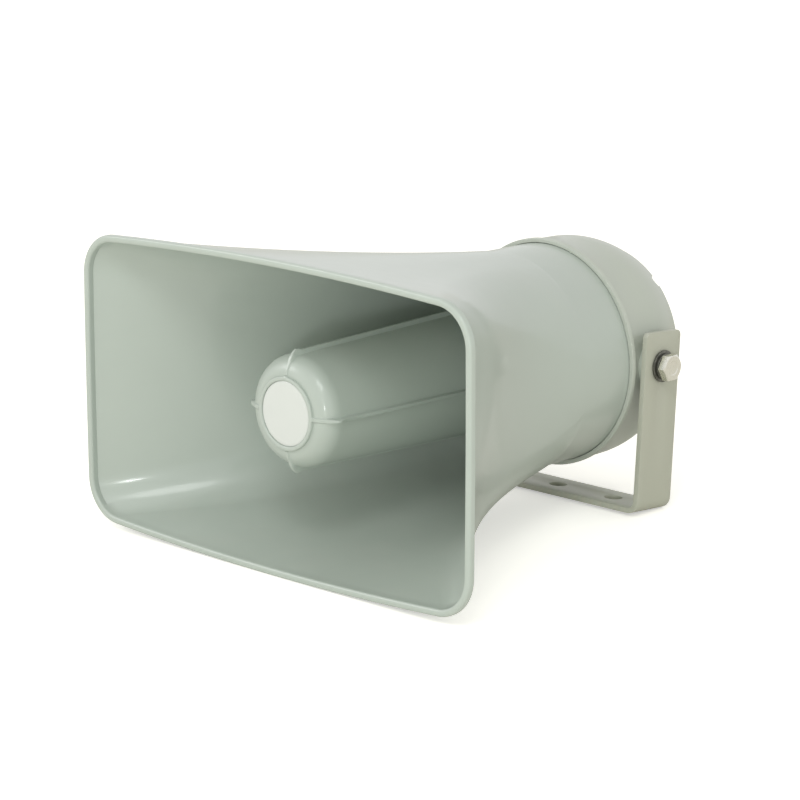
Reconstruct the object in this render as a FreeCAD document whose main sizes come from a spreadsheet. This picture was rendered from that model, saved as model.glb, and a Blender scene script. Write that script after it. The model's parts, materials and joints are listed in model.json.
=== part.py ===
import FreeCAD, Part
import math
import os
import Sketcher

# Public-address horn speaker: a rectangular reflex horn, its driver and its tilting bracket.
# X runs to the right, Y from the mouth to the rear, Z up. The floor is Z = 0 and the origin
# lies on it, halfway between the mouth and the cable gland. Lengths are in millimetres.
# A depth is a distance behind the mouth's front edge.

SIZES = {
    # Bell
    "mouth_width": 285.0,
    "mouth_height": 167.0,
    "mouth_corner": 23.4,
    "edge_bow": 3.5,
    "lip_width": 4.0,
    "lip_depth": 4.0,
    "lip_round": 1.6,
    "bell_wall": 2.6,
    "flare_end": 184.0,
    "neck_radius": 62.0,
    "neck_front": 22.0,
    "neck_skirt": 16.0,
    "bulkhead_wall": 4.0,
    "bulkhead_round": 6.0,
    # Reflex horn
    "nose_depth": 15.0,
    "shoulder_length": 11.0,
    "shoulder_radius": 30.0,
    "fold_gap": 28.0,
    "reflex_end_radius": 34.8,
    "reflex_wall": 2.2,
    "rib_width": 2.4,
    "rib_height": 2.2,
    "rib_tip": 1.4,
    "ring_wall": 2.25,
    "ring_height": 1.5,
    "badge_radius": 17.2,
    "badge_thickness": 1.0,
    "badge_clearance": 0.15,
    "badge_recess": 0.3,
    "post_radius": 5.5,
    "post_length": 14.0,
    "nose_screw_length": 26.0,
    # Throat tube
    "tube_setback": 7.0,
    "tube_front_radius": 13.0,
    "tube_rear_radius": 15.8,
    "tube_wall": 1.8,
    "flange_radius": 30.0,
    "flange_thickness": 4.0,
    "fin_thickness": 2.0,
    "fin_length": 10.0,
    # Driver
    "housing_gap": 1.9,
    "housing_thickness": 8.0,
    "throat_radius": 12.5,
    "ring_thickness": 2.6,
    "suspension_width": 10.1,
    "diaphragm_thickness": 0.4,
    "dome_height": 5.0,
    "coil_radius": 19.5,
    "coil_thickness": 0.7,
    "coil_length": 8.0,
    "coil_gap": 0.8,
    "plate_radius": 47.0,
    "plate_thickness": 5.0,
    "magnet_radius": 41.0,
    "magnet_gap": 4.5,
    "magnet_thickness": 14.0,
    "yoke_radius": 39.0,
    "plate_screw_inset": 3.0,
    # Rear cover
    "cover_overlap": 9.8,
    "cover_air_gap": 9.8,
    "cover_wall": 2.6,
    "cover_lip_stand": 1.0,
    "cover_lip_length": 3.2,
    "cover_skirt": 1.3,
    "crown_length": 31.0,
    "crown_fall": 8.4,
    "rear_edge_width": 4.2,
    "cover_clearance": 0.3,
    "cover_screw_inset": 9.0,
    "pillar_radius": 5.0,
    "well_depth": 9.0,
    "seal_thickness": 1.6,
    # Pivot
    "pivot_setback": 18.8,
    "boss_radius": 12.5,
    "boss_stand": 1.9,
    "boss_core_wall": 1.8,
    "insert_wall": 1.4,
    "insert_length": 13.0,
    "bolt_radius": 4.0,
    "bolt_reach": 11.0,
    "head_across_flats": 14.0,
    "head_height": 4.6,
    "washer_radius": 8.9,
    "washer_thickness": 1.2,
    "lock_washer_radius": 7.4,
    "lock_washer_thickness": 1.8,
    "friction_washer_thickness": 1.2,
    "running_clearance": 0.08,
    "side_clearance": 0.3,
    # Bracket
    "strip_width": 29.0,
    "strip_thickness": 3.0,
    "bend_radius": 7.0,
    "arm_top": 19.2,
    "arm_corner": 3.0,
    "bracket_tilt": 3.75,
    "fixing_hole_radius": 5.2,
    "fixing_spacing": 82.0,
    # Cable gland and terminals
    "gland_drop": 27.0,
    "gland_thread_radius": 6.0,
    "gland_bore": 3.3,
    "gland_flange_width": 3.4,
    "gland_flange_thickness": 3.0,
    "gland_nut_width": 2.2,
    "gland_nut_length": 5.0,
    "gland_locknut_thickness": 3.0,
    "terminal_width": 30.0,
    "terminal_height": 12.0,
    "terminal_depth": 8.0,
    # Screws
    "screw_radius": 2.0,
    "screw_head_radius": 3.7,
    "screw_head_height": 2.6,
    "screw_hole_clearance": 0.3,
}

SECTION_DEPTHS = (0.0, 0.14, 0.3, 0.48, 0.66, 0.83, 1.0)
WIDTH_POWER = 2.31
HEIGHT_POWER = 1.11
CORNER_POWER = 0.47
ROUND_ANGLE = 22.5
STRAIGHT_ANGLE = 0.6
COVER_SCREWS = 4
PLATE_SCREWS = 4
RIBS = 4
FINS = 4

document = FreeCAD.newDocument("pa_horn_speaker")
sheet = document.addObject("Spreadsheet::Sheet", "sizes")
for row, (alias, number) in enumerate(SIZES.items(), 1):
    sheet.set("A%d" % row, alias)
    sheet.set("B%d" % row, str(number))
    sheet.setAlias("B%d" % row, alias)
document.recompute()


class Size:
    """A number that keeps the sheet formula it was worked out from."""

    def __init__(self, value, formula):
        self.value = value
        self.formula = formula

    def __add__(self, other):
        other = as_size(other)
        return Size(self.value + other.value, "(%s + %s)" % (self.formula, other.formula))

    def __sub__(self, other):
        other = as_size(other)
        return Size(self.value - other.value, "(%s - %s)" % (self.formula, other.formula))

    def __mul__(self, other):
        other = as_size(other)
        return Size(self.value * other.value, "(%s * %s)" % (self.formula, other.formula))

    def __truediv__(self, other):
        other = as_size(other)
        return Size(self.value / other.value, "(%s / %s)" % (self.formula, other.formula))

    def __neg__(self):
        return as_size(0) - self


def as_size(number):
    if isinstance(number, Size):
        return number
    return Size(float(number), repr(float(number)))


def size(alias):
    """Read one cell of the sheet."""
    return Size(float(sheet.get(alias)), "sizes." + alias)


def bind(item, prop, amount):
    item.setExpression(prop, as_size(amount).formula)


# Depths that several pieces share
axis_height = size("mouth_height") / 2
shoulder_depth = size("nose_depth") + size("shoulder_length")
boss_front = size("nose_depth") + size("post_length")
tube_front = boss_front + size("tube_setback")
bulkhead_depth = size("flare_end") + size("neck_front")
pocket_depth = bulkhead_depth + size("bulkhead_wall")
neck_end = pocket_depth + size("neck_skirt")
reflex_end = bulkhead_depth - size("fold_gap")
housing_front = pocket_depth + size("flange_thickness")
housing_rear = housing_front + size("housing_thickness")
plate_front = housing_rear + size("ring_thickness")
plate_rear = plate_front + size("plate_thickness")
magnet_rear = plate_rear + size("magnet_thickness")
yoke_rear = magnet_rear + size("plate_thickness")
cover_front = neck_end - size("cover_overlap")
cover_inside = yoke_rear + size("terminal_depth") + size("cover_air_gap")
cover_rear = cover_inside + size("cover_wall")
crown_start = cover_rear - size("crown_length")
pivot_depth = cover_front + size("pivot_setback")
screw_seat = cover_rear - size("well_depth")
badge_floor = (size("nose_depth") - size("ring_height") + size("badge_thickness")
               + size("badge_recess"))
nose_screw_seat = badge_floor + size("screw_head_height")
nose_screw_tip = nose_screw_seat + size("nose_screw_length")
overall_depth = cover_rear + size("gland_flange_thickness") + size("gland_nut_length")
mouth_place = -(overall_depth / 2)

# Radii and widths that several pieces share
neck_bore = size("neck_radius") - size("bell_wall")
housing_radius = neck_bore - size("housing_gap")
ring_inside = size("badge_radius") + size("badge_clearance")
ring_radius = ring_inside + size("ring_wall")
suspension_radius = size("coil_radius") + size("suspension_width")
magnet_hole = size("coil_radius") + size("magnet_gap")
plate_screw_circle = size("plate_radius") - size("plate_screw_inset")
slide_radius = size("neck_radius") + size("cover_clearance")
cover_radius = slide_radius + size("cover_skirt")
cover_lip_radius = cover_radius + size("cover_lip_stand")
crown_edge_radius = cover_radius - size("crown_fall")
rear_face_radius = crown_edge_radius - size("rear_edge_width")
cover_screw_circle = size("neck_radius") - size("cover_screw_inset")
boss_face = cover_radius + size("boss_stand")
insert_radius = size("bolt_radius") + size("insert_wall")
boss_core_radius = insert_radius + size("boss_core_wall")
arm_inside = boss_face + size("friction_washer_thickness") + size("side_clearance")
arm_outside = arm_inside + size("strip_thickness")
gland_flange_radius = size("gland_thread_radius") + size("gland_flange_width")
gland_nut_radius = size("gland_thread_radius") + size("gland_nut_width")

half_tilt_rise = math.sin(math.radians(size("bracket_tilt").value))
tilt_cosine = math.cos(math.radians(size("bracket_tilt").value))
base_drop = (axis_height - size("strip_width") / 2 * half_tilt_rise) / tilt_cosine


def place(item, across=0, depth=0, up=0):
    """Put a piece's own origin on the horn's axis, at a depth behind the mouth."""
    bind(item, "Placement.Base.x", across)
    bind(item, "Placement.Base.y", mouth_place + depth)
    bind(item, "Placement.Base.z", axis_height + up)


def new_body(label):
    body = document.addObject("PartDesign::Body", label)
    body.Label = label
    return body


def new_sketch(body, name, plane, offset=0):
    """Start a sketch on one of the body's own origin planes."""
    sketch = body.newObject("Sketcher::SketchObject", name)
    support = [item for item in body.Origin.OriginFeatures if item.Role == plane][0]
    sketch.AttachmentSupport = [(support, "")]
    sketch.MapMode = "FlatFace"
    bind(sketch, "AttachmentOffset.Base.z", offset)
    return sketch


def hold_point(sketch, line, end, across, up):
    """Dimension a point from the sketch's origin with sheet formulas."""
    for kind, amount in (("DistanceX", across), ("DistanceY", up)):
        amount = as_size(amount)
        index = sketch.addConstraint(
            Sketcher.Constraint(kind, -1, 1, line, end, amount.value))
        sketch.setExpression("Constraints[%d]" % index, amount.formula)


def draw_outline(sketch, corners):
    """Draw a closed outline of straight lines through dimensioned corners."""
    corners = [(as_size(across), as_size(up)) for across, up in corners]
    first = sketch.GeometryCount
    spots = [FreeCAD.Vector(across.value, up.value, 0) for across, up in corners]
    for spot, following in zip(spots, spots[1:] + spots[:1]):
        sketch.addGeometry(Part.LineSegment(spot, following))
    for index in range(len(corners)):
        following = first + (index + 1) % len(corners)
        sketch.addConstraint(Sketcher.Constraint("Coincident", first + index, 2, following, 1))
    for index, (across, up) in enumerate(corners):
        hold_point(sketch, first + index, 1, across, up)


def draw_circle(sketch, across, up, radius):
    across, up, radius = as_size(across), as_size(up), as_size(radius)
    centre = FreeCAD.Vector(across.value, up.value, 0)
    index = sketch.addGeometry(
        Part.Circle(centre, FreeCAD.Vector(0, 0, 1), radius.value))
    hold_point(sketch, index, 3, across, up)
    held = sketch.addConstraint(Sketcher.Constraint("Radius", index, radius.value))
    sketch.setExpression("Constraints[%d]" % held, radius.formula)


def draw_hexagon(sketch, across, up, across_flats):
    """Draw a hexagon with two flats level."""
    corner = as_size(across_flats) / (2 * math.cos(math.pi / 6))
    corners = []
    for step in range(6):
        turn = math.radians(60 * step)
        corners.append((as_size(across) + corner * math.cos(turn),
                        as_size(up) + corner * math.sin(turn)))
    draw_outline(sketch, corners)


def turn_outline(body, name, corners):
    """Revolve an outline of (depth, radius) corners about the horn's axis."""
    sketch = new_sketch(body, name + "_outline", "YZ_Plane")
    draw_outline(sketch, corners)
    turned = body.newObject("PartDesign::Revolution", name)
    turned.Profile = sketch
    turned.ReferenceAxis = (sketch, ["H_Axis"])
    turned.Angle = 360
    return turned


def turned_piece(label, corners, depth=0, across=0, up=0):
    body = new_body(label)
    turn_outline(body, label + "_turning", corners)
    place(body, across, depth, up)
    return body


def ring(front, rear, inner, outer):
    """Corners of a plain ring's section."""
    return [(front, inner), (front, outer), (rear, outer), (rear, inner)]


def pad(body, name, sketch, length, both_ways=False, backwards=False):
    feature = body.newObject("PartDesign::Pad", name)
    feature.Profile = sketch
    feature.Midplane = both_ways
    feature.Reversed = backwards
    bind(feature, "Length", length)
    return feature


def pocket(body, name, sketch, length, backwards=False):
    feature = body.newObject("PartDesign::Pocket", name)
    feature.Profile = sketch
    feature.Reversed = backwards
    bind(feature, "Length", length)
    return feature


def around_axis(body, name, features, count):
    """Repeat features evenly about the horn's axis."""
    pattern = body.newObject("PartDesign::PolarPattern", name)
    pattern.Originals = features
    axis = [item for item in body.Origin.OriginFeatures if item.Role == "Y_Axis"][0]
    pattern.Axis = (axis, [""])
    pattern.Angle = 360
    pattern.Occurrences = count
    body.Tip = pattern
    return pattern


def round_edges(body, name, radius, wanted):
    """Fillet the edges of the body's last feature that a test picks."""
    document.recompute()
    base = body.Tip
    names = []
    for index, edge in enumerate(base.Shape.Edges, 1):
        if wanted(edge):
            names.append("Edge%d" % index)
    fillet = body.newObject("PartDesign::Fillet", name)
    fillet.Base = (base, names)
    bind(fillet, "Radius", radius)
    return fillet


def circle_at(depth, radius, tolerance=0.05):
    """Make a test for a circular edge about the axis at a depth."""
    def wanted(edge):
        if edge.Curve.TypeId != "Part::GeomCircle":
            return False
        near_depth = abs(edge.Curve.Center.y - depth.value) < tolerance
        return near_depth and abs(edge.Curve.Radius - radius.value) < tolerance
    return wanted


# Bell: a loft of eight-arc sections from the bowed mouth to the round neck

def flare_section(depth_share, inset):
    """Half width, half height, corner radius and edge angles of one section."""
    closing = 1 - depth_share
    neck = size("neck_radius").value - inset
    half_width = size("mouth_width").value / 2 - lip_step - inset
    half_height = size("mouth_height").value / 2 - lip_step - inset
    corner = size("mouth_corner").value - lip_step - inset
    straight_run = size("mouth_width").value / 2 - size("mouth_corner").value
    bow_angle = 2 * math.degrees(math.atan(size("edge_bow").value / straight_run))
    rounding = 1 - closing ** CORNER_POWER
    return (neck + (half_width - neck) * closing ** WIDTH_POWER,
            neck + (half_height - neck) * closing ** HEIGHT_POWER,
            corner + (neck - corner) * rounding,
            bow_angle + (ROUND_ANGLE - bow_angle) * rounding,
            STRAIGHT_ANGLE + (ROUND_ANGLE - STRAIGHT_ANGLE) * rounding)


def draw_flare_section(sketch, half_width, half_height, corner, top_angle, side_angle):
    """Draw eight tangent arcs: top, bottom, two sides and four corners."""
    top, side = math.radians(top_angle), math.radians(side_angle)
    run = half_width - corner * (math.cos(side) - math.sin(top))
    rise = half_height - corner * (math.cos(top) - math.sin(side))
    scale = math.sin(top) * math.sin(side) - (1 - math.cos(side)) * (1 - math.cos(top))
    top_radius = (run * math.sin(side) - rise * (1 - math.cos(side))) / scale
    side_radius = (rise * math.sin(top) - run * (1 - math.cos(top))) / scale
    quarter = math.pi / 2
    side_centre = (half_width - side_radius, 0)
    top_centre = (0, half_height - top_radius)
    corner_centre = (side_centre[0] + (side_radius - corner) * math.cos(side),
                     (side_radius - corner) * math.sin(side))
    arcs = []
    for right in (1, -1):
        for over in (1, -1):
            arcs.append((corner_centre, corner, side, quarter - top, right, over))
    arcs.append((side_centre, side_radius, -side, side, 1, 1))
    arcs.append((side_centre, side_radius, -side, side, -1, 1))
    arcs.append((top_centre, top_radius, quarter - top, quarter + top, 1, 1))
    arcs.append((top_centre, top_radius, quarter - top, quarter + top, 1, -1))
    for centre, radius, start, end, right, over in arcs:
        spots = []
        for angle in (start, (start + end) / 2, end):
            across = right * (centre[0] + radius * math.cos(angle))
            up = over * (centre[1] + radius * math.sin(angle))
            spots.append(FreeCAD.Vector(across, up, 0))
        sketch.addGeometry(Part.Arc(*spots))


def flare_loft(body, name, kind, inset, start, end):
    """Loft the flare's sections between two depths."""
    sketches = []
    for index, share in enumerate(SECTION_DEPTHS):
        depth = start + (end - start) * share
        sketch = new_sketch(body, "%s_section_%d" % (name, index), "XZ_Plane", -depth)
        draw_flare_section(sketch, *flare_section(share, inset))
        sketches.append(sketch)
    loft = body.newObject("PartDesign::" + kind, name)
    loft.Profile = sketches[0]
    loft.Sections = sketches[1:]
    loft.Ruled = False
    return loft


lip_step = size("lip_width").value - size("bell_wall").value


def make_bell():
    body = new_body("horn_bell")
    wall = size("bell_wall")
    flare_loft(body, "flare_outside", "AdditiveLoft", 0, size("lip_depth"), size("flare_end"))
    lip = new_sketch(body, "lip_outline", "XZ_Plane", 0)
    draw_lip(lip, 0)
    pad(body, "lip", lip, size("lip_depth"), backwards=True)
    neck = new_sketch(body, "neck_outline", "YZ_Plane")
    draw_outline(neck, [(size("flare_end"), 0), (size("flare_end"), size("neck_radius")),
                        (neck_end, size("neck_radius")), (neck_end, 0)])
    turned_neck = body.newObject("PartDesign::Revolution", "neck")
    turned_neck.Profile = neck
    turned_neck.ReferenceAxis = (neck, ["H_Axis"])
    hollow = new_sketch(body, "lip_hollow_outline", "XZ_Plane", 0)
    draw_lip(hollow, size("lip_width").value)
    pocket(body, "lip_hollow", hollow, size("lip_depth"))
    flare_loft(body, "flare_inside", "SubtractiveLoft", wall.value,
               size("lip_depth"), size("flare_end"))
    groove(body, "neck_hollow", [(size("flare_end"), 0), (size("flare_end"), neck_bore),
                                 (bulkhead_depth, neck_bore), (bulkhead_depth, 0)])
    tube_seat = size("flange_radius") + size("screw_hole_clearance")
    groove(body, "driver_pocket", [
        (neck_end, 0), (neck_end, neck_bore), (pocket_depth, neck_bore),
        (pocket_depth, housing_radius), (housing_front, housing_radius),
        (housing_front, tube_seat), (pocket_depth, tube_seat), (pocket_depth, 0)])
    groove(body, "tube_hole", [
        (bulkhead_depth, 0), (bulkhead_depth, size("tube_rear_radius")),
        (pocket_depth, size("tube_rear_radius")), (pocket_depth, 0)])
    hole = new_sketch(body, "cover_screw_hole_outline", "XZ_Plane", -housing_front)
    draw_on_circle(hole, cover_screw_circle, size("screw_radius"))
    holes = pocket(body, "cover_screw_hole", hole, size("flange_thickness") + 2, backwards=True)
    around_axis(body, "cover_screw_holes", [holes], COVER_SCREWS)
    round_edges(body, "bulkhead_fillet", size("bulkhead_round"),
                circle_at(bulkhead_depth, neck_bore))
    round_edges(body, "lip_edge", size("lip_round"), on_lip_outside)
    place(body)
    return body


def draw_lip(sketch, inset):
    """Draw the mouth's outline, set in from its outer edge."""
    half_width = size("mouth_width").value / 2 - inset
    half_height = size("mouth_height").value / 2 - inset
    corner = size("mouth_corner").value - inset
    straight_run = size("mouth_width").value / 2 - size("mouth_corner").value
    bow_angle = 2 * math.degrees(math.atan(size("edge_bow").value / straight_run))
    draw_flare_section(sketch, half_width, half_height, corner, bow_angle, STRAIGHT_ANGLE)


def on_lip_outside(edge):
    """Pick the outer edges of the lip's front face."""
    box = edge.BoundBox
    if box.YMax > 0.01:
        return False
    reach_across = max(abs(box.XMin), abs(box.XMax)) / (size("mouth_width").value / 2)
    reach_up = max(abs(box.ZMin), abs(box.ZMax)) / (size("mouth_height").value / 2)
    return max(reach_across, reach_up) > 0.99


def groove(body, name, corners):
    """Cut a turned hollow from (depth, radius) corners."""
    sketch = new_sketch(body, name + "_outline", "YZ_Plane")
    draw_outline(sketch, corners)
    cut = body.newObject("PartDesign::Groove", name)
    cut.Profile = sketch
    cut.ReferenceAxis = (sketch, ["H_Axis"])
    cut.Angle = 360
    return cut


def draw_on_circle(sketch, circle_radius, hole_radius, angle=45.0):
    """Draw a hole's circle at an angle on a bolt circle."""
    turn = math.radians(angle)
    draw_circle(sketch, as_size(circle_radius) * math.cos(turn),
                as_size(circle_radius) * math.sin(turn), hole_radius)


# Reflex horn: a ribbed, hollow nose piece, open at its rear

def body_radius(depth):
    """Outside radius of the reflex horn behind its shoulder."""
    run = reflex_end - shoulder_depth
    slope = (size("reflex_end_radius") - size("shoulder_radius")) / run
    return size("shoulder_radius") + slope * (depth - shoulder_depth)


def nose_corners(inset):
    """Outline of the nose from its flat face round the shoulder to the open end."""
    face = size("nose_depth") + inset
    shoulder = size("shoulder_radius") - inset
    rise = shoulder_depth - size("nose_depth")
    flat = ring_radius - inset
    corners = [(face, 0), (face, flat)]
    for step in (18, 36, 54, 72):
        angle = math.radians(step)
        corners.append((face + rise * (1 - math.cos(angle)),
                        flat + (shoulder - flat) * math.sin(angle)))
    corners.append((shoulder_depth + inset, shoulder))
    corners.append((reflex_end, size("reflex_end_radius") - inset))
    return corners


def make_reflex_horn():
    body = new_body("reflex_horn")
    turn_outline(body, "nose", nose_corners(0) + [(reflex_end, 0)])
    groove(body, "nose_hollow", nose_corners(size("reflex_wall")) + [(reflex_end, 0)])
    post = [(size("nose_depth") + 1, 0), (size("nose_depth") + 1, size("post_radius")),
            (boss_front, size("post_radius")), (boss_front, 0)]
    turn_outline(body, "screw_post", post)
    turn_outline(body, "badge_ring", ring(
        size("nose_depth") - size("ring_height"), size("nose_depth") + 0.5,
        ring_inside, ring_radius))
    rib = new_sketch(body, "rib_outline", "YZ_Plane")
    draw_outline(rib, [
        (size("nose_depth") - size("ring_height") / 2, ring_radius - 1),
        (size("nose_depth") + 1.2, ring_radius + 4),
        (shoulder_depth - 6.0, size("shoulder_radius") + size("rib_height") * 0.2),
        (shoulder_depth - 3.5,
         size("shoulder_radius") + size("rib_height") + size("rib_tip")),
        (shoulder_depth + 2.5, size("shoulder_radius") + size("rib_height")),
        (reflex_end, size("reflex_end_radius") + size("rib_height")),
        (reflex_end, size("reflex_end_radius") - 1),
        (shoulder_depth + 1, size("shoulder_radius") - 1),
        (shoulder_depth - 4, size("shoulder_radius") - 3)])
    ribs = pad(body, "rib", rib, size("rib_width"), both_ways=True)
    around_axis(body, "ribs", [ribs], RIBS)
    groove(body, "badge_seat", ring(size("nose_depth") - size("ring_height") - 1, badge_floor,
                                    0, ring_inside))
    groove(body, "screw_hole", [
        (badge_floor - 1, 0), (badge_floor - 1, size("screw_head_radius") + 0.3),
        (badge_floor + size("screw_head_height"), size("screw_head_radius") + 0.3),
        (badge_floor + size("screw_head_height"), size("screw_radius")),
        (boss_front + 1, size("screw_radius")), (boss_front + 1, 0)])
    place(body)
    return body


def make_badge():
    return turned_piece("nose_badge", [
        (badge_floor - size("badge_thickness"), 0),
        (badge_floor - size("badge_thickness"), size("badge_radius") - 0.4),
        (badge_floor - size("badge_thickness") + 0.4, size("badge_radius")),
        (badge_floor, size("badge_radius")), (badge_floor, 0)])


# Throat tube: a tapered tube with a flange, and a finned boss at its front

def make_throat_tube():
    body = new_body("throat_tube")
    front, rear = tube_front, pocket_depth
    wall = size("tube_wall")
    outer, inner = size("tube_rear_radius"), size("tube_rear_radius") - wall
    turn_outline(body, "tube", [
        (front, size("tube_front_radius") - wall), (front, size("tube_front_radius")),
        (rear - size("bulkhead_wall"), outer), (rear, outer), (rear, size("flange_radius")),
        (housing_front, size("flange_radius")), (housing_front, size("throat_radius")),
        (rear - size("bulkhead_wall"), inner)])
    fin = new_sketch(body, "fin_outline", "YZ_Plane")
    draw_outline(fin, [
        (front + 1, 0), (front + 1, size("tube_front_radius") - wall / 2),
        (front + 1 + size("fin_length"), size("tube_front_radius") - wall / 2),
        (front + 1 + size("fin_length"), 0)])
    fins = pad(body, "fin", fin, size("fin_thickness"), both_ways=True)
    around_axis(body, "fins", [fins], FINS)
    boss_rear = front + 1 + size("fin_length")
    turn_outline(body, "screw_boss", ring(boss_front, boss_rear, 0, size("post_radius")))
    groove(body, "screw_pilot", ring(boss_front - 1, nose_screw_tip + 0.5,
                                     0, size("screw_radius")))
    place(body)
    return body


def make_nose_screw():
    """A long pan-head screw on the axis, under the badge."""
    head, seat, tip = size("screw_head_radius"), nose_screw_seat, nose_screw_tip
    return turned_piece("nose_screw", [
        (seat - size("screw_head_height"), 0), (seat - size("screw_head_height"), head * 0.6),
        (seat - size("screw_head_height") * 0.6, head), (seat, head),
        (seat, size("screw_radius")), (tip - 1.5, size("screw_radius")), (tip, 0)])


# Driver: housing, phase plug, diaphragm with its coil, and the magnet

def make_driver_housing():
    body = new_body("driver_housing")
    dome = size("coil_radius") - size("coil_thickness")
    dome_rear = housing_rear + size("ring_thickness") / 2
    turn_outline(body, "housing", [
        (housing_front, size("throat_radius")), (housing_front, housing_radius - 0.3),
        (housing_rear, housing_radius - 0.3), (housing_rear, dome + 2),
        (housing_rear - size("dome_height") * 0.55, dome * 0.72),
        (dome_rear - size("dome_height") - 2.2, size("throat_radius"))])
    hole = new_sketch(body, "screw_hole_outline", "XZ_Plane", -housing_front)
    draw_on_circle(hole, cover_screw_circle, size("screw_radius"))
    holes = pocket(body, "screw_hole", hole, size("housing_thickness") * 2)
    around_axis(body, "screw_holes", [holes], COVER_SCREWS)
    plate_hole = new_sketch(body, "plate_screw_outline", "XZ_Plane", -housing_rear)
    draw_on_circle(plate_hole, plate_screw_circle, size("screw_radius"), 0.0)
    plate_holes = pocket(body, "plate_screw_hole", plate_hole,
                         size("housing_thickness") - 2, backwards=True)
    around_axis(body, "plate_screw_holes", [plate_holes], PLATE_SCREWS)
    place(body)
    return body


def make_phase_plug():
    body = new_body("phase_plug")
    front = housing_front - 6
    rear = housing_rear + size("ring_thickness") / 2 - size("dome_height") - 1.6
    turn_outline(body, "plug", [(front, 0), (front + 2, 2.6), (rear - 1.5, 8.0), (rear, 8.2),
                                (rear, 0)])
    fin = new_sketch(body, "plug_fin_outline", "YZ_Plane")
    draw_outline(fin, [(housing_front + 0.5, 0), (housing_front + 0.5, size("throat_radius") - 0.05),
                       (rear, size("throat_radius") - 0.05), (rear, 0)])
    fins = pad(body, "plug_fin", fin, 1.4, both_ways=True)
    around_axis(body, "plug_fins", [fins], 3)
    place(body)
    return body


def make_diaphragm():
    thickness = size("diaphragm_thickness")
    middle = housing_rear + (size("ring_thickness") - thickness) / 2
    dome = size("coil_radius")
    front = [(middle, suspension_radius), (middle, dome + 3.6)]
    back = [(middle + thickness, suspension_radius), (middle + thickness, dome + 3.4)]
    front.append((middle - 0.5, dome + 1.8))
    back.append((middle + thickness - 0.5, dome + 1.8))
    for share in (1.0, 0.8, 0.6, 0.4, 0.2):
        height = size("dome_height") * (1 - share ** 2)
        front.append((middle - height, (dome - 0.3) * share))
        back.append((middle + thickness - height, (dome - 0.3) * share))
    front.append((middle - size("dome_height"), 0))
    back.append((middle + thickness - size("dome_height"), 0))
    return turned_piece("diaphragm", front + back[::-1])


def make_driver_rings():
    """The turned driver pieces that are plain rings and discs."""
    coil_front = housing_rear + (size("ring_thickness") + size("diaphragm_thickness")) / 2
    gap = size("coil_radius") + size("coil_gap")
    pole = size("coil_radius") - size("coil_thickness") - size("coil_gap")
    turned_piece("voice_coil", ring(coil_front, coil_front + size("coil_length"),
                                    size("coil_radius") - size("coil_thickness"),
                                    size("coil_radius")))
    turned_piece("diaphragm_ring", ring(housing_rear, plate_front,
                                        suspension_radius + 0.4,
                                        plate_screw_circle - 3))
    turned_piece("driver_magnet", ring(plate_rear, magnet_rear, magnet_hole,
                                       size("magnet_radius")))
    turned_piece("driver_yoke", [
        (plate_front + 0.8, 0), (plate_front + 0.8, pole), (magnet_rear, pole),
        (magnet_rear, size("yoke_radius")), (yoke_rear - 1, size("yoke_radius")),
        (yoke_rear, size("yoke_radius") - 1), (yoke_rear, 0)])
    body = new_body("driver_top_plate")
    turn_outline(body, "top_plate", ring(plate_front, plate_rear, gap, size("plate_radius")))
    hole = new_sketch(body, "top_plate_hole_outline", "XZ_Plane", -plate_rear)
    draw_on_circle(hole, plate_screw_circle, size("screw_radius"), 0.0)
    holes = pocket(body, "top_plate_hole", hole, size("plate_thickness") * 1.5, backwards=True)
    around_axis(body, "top_plate_holes", [holes], PLATE_SCREWS)
    place(body)


def screw_set(label, circle_radius, seat, length, angle, count, head_radius):
    """Equal screws on a circle, with their heads to the rear, as separate solids."""
    turns = []
    for index in range(count):
        name = "%s_%d" % (label, index + 1)
        shank = document.addObject("Part::Cylinder", name + "_shank")
        head = document.addObject("Part::Cylinder", name + "_head")
        for item, radius, height in ((shank, size("screw_radius"), length),
                                     (head, head_radius, size("screw_head_height"))):
            bind(item, "Radius", radius)
            bind(item, "Height", height)
        bind(shank, "Placement.Base.z", -as_size(length))
        slot = document.addObject("Part::Box", name + "_slot")
        bind(slot, "Length", head_radius * 1.3)
        bind(slot, "Width", 0.9)
        bind(slot, "Height", 2.0)
        bind(slot, "Placement.Base.x", head_radius * -0.65)
        bind(slot, "Placement.Base.y", -0.45)
        bind(slot, "Placement.Base.z", size("screw_head_height") - 1.1)
        cross = document.addObject("Part::Box", name + "_cross")
        bind(cross, "Length", 0.9)
        bind(cross, "Width", head_radius * 1.3)
        bind(cross, "Height", 2.0)
        bind(cross, "Placement.Base.x", -0.45)
        bind(cross, "Placement.Base.y", head_radius * -0.65)
        bind(cross, "Placement.Base.z", size("screw_head_height") - 1.1)
        blank = document.addObject("Part::MultiFuse", name + "_blank")
        blank.Shapes = [shank, head]
        recess = document.addObject("Part::MultiFuse", name + "_recess")
        recess.Shapes = [slot, cross]
        screw = document.addObject("Part::Cut", name)
        screw.Base = blank
        screw.Tool = recess
        turn = math.radians(angle + 360.0 * index / count)
        across, up = as_size(circle_radius) * math.cos(turn), as_size(circle_radius) * math.sin(turn)
        screw.Placement.Rotation = FreeCAD.Rotation(FreeCAD.Vector(1, 0, 0), -90)
        bind(screw, "Placement.Base.x", across)
        bind(screw, "Placement.Base.y", seat)
        bind(screw, "Placement.Base.z", up)
        turns.append(screw)
    group = document.addObject("Part::Compound", label)
    group.Label = label
    group.Links = turns
    place(group)
    return group


# Rear cover: a domed cap that slides over the neck, with screw pillars and pivot bosses

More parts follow.
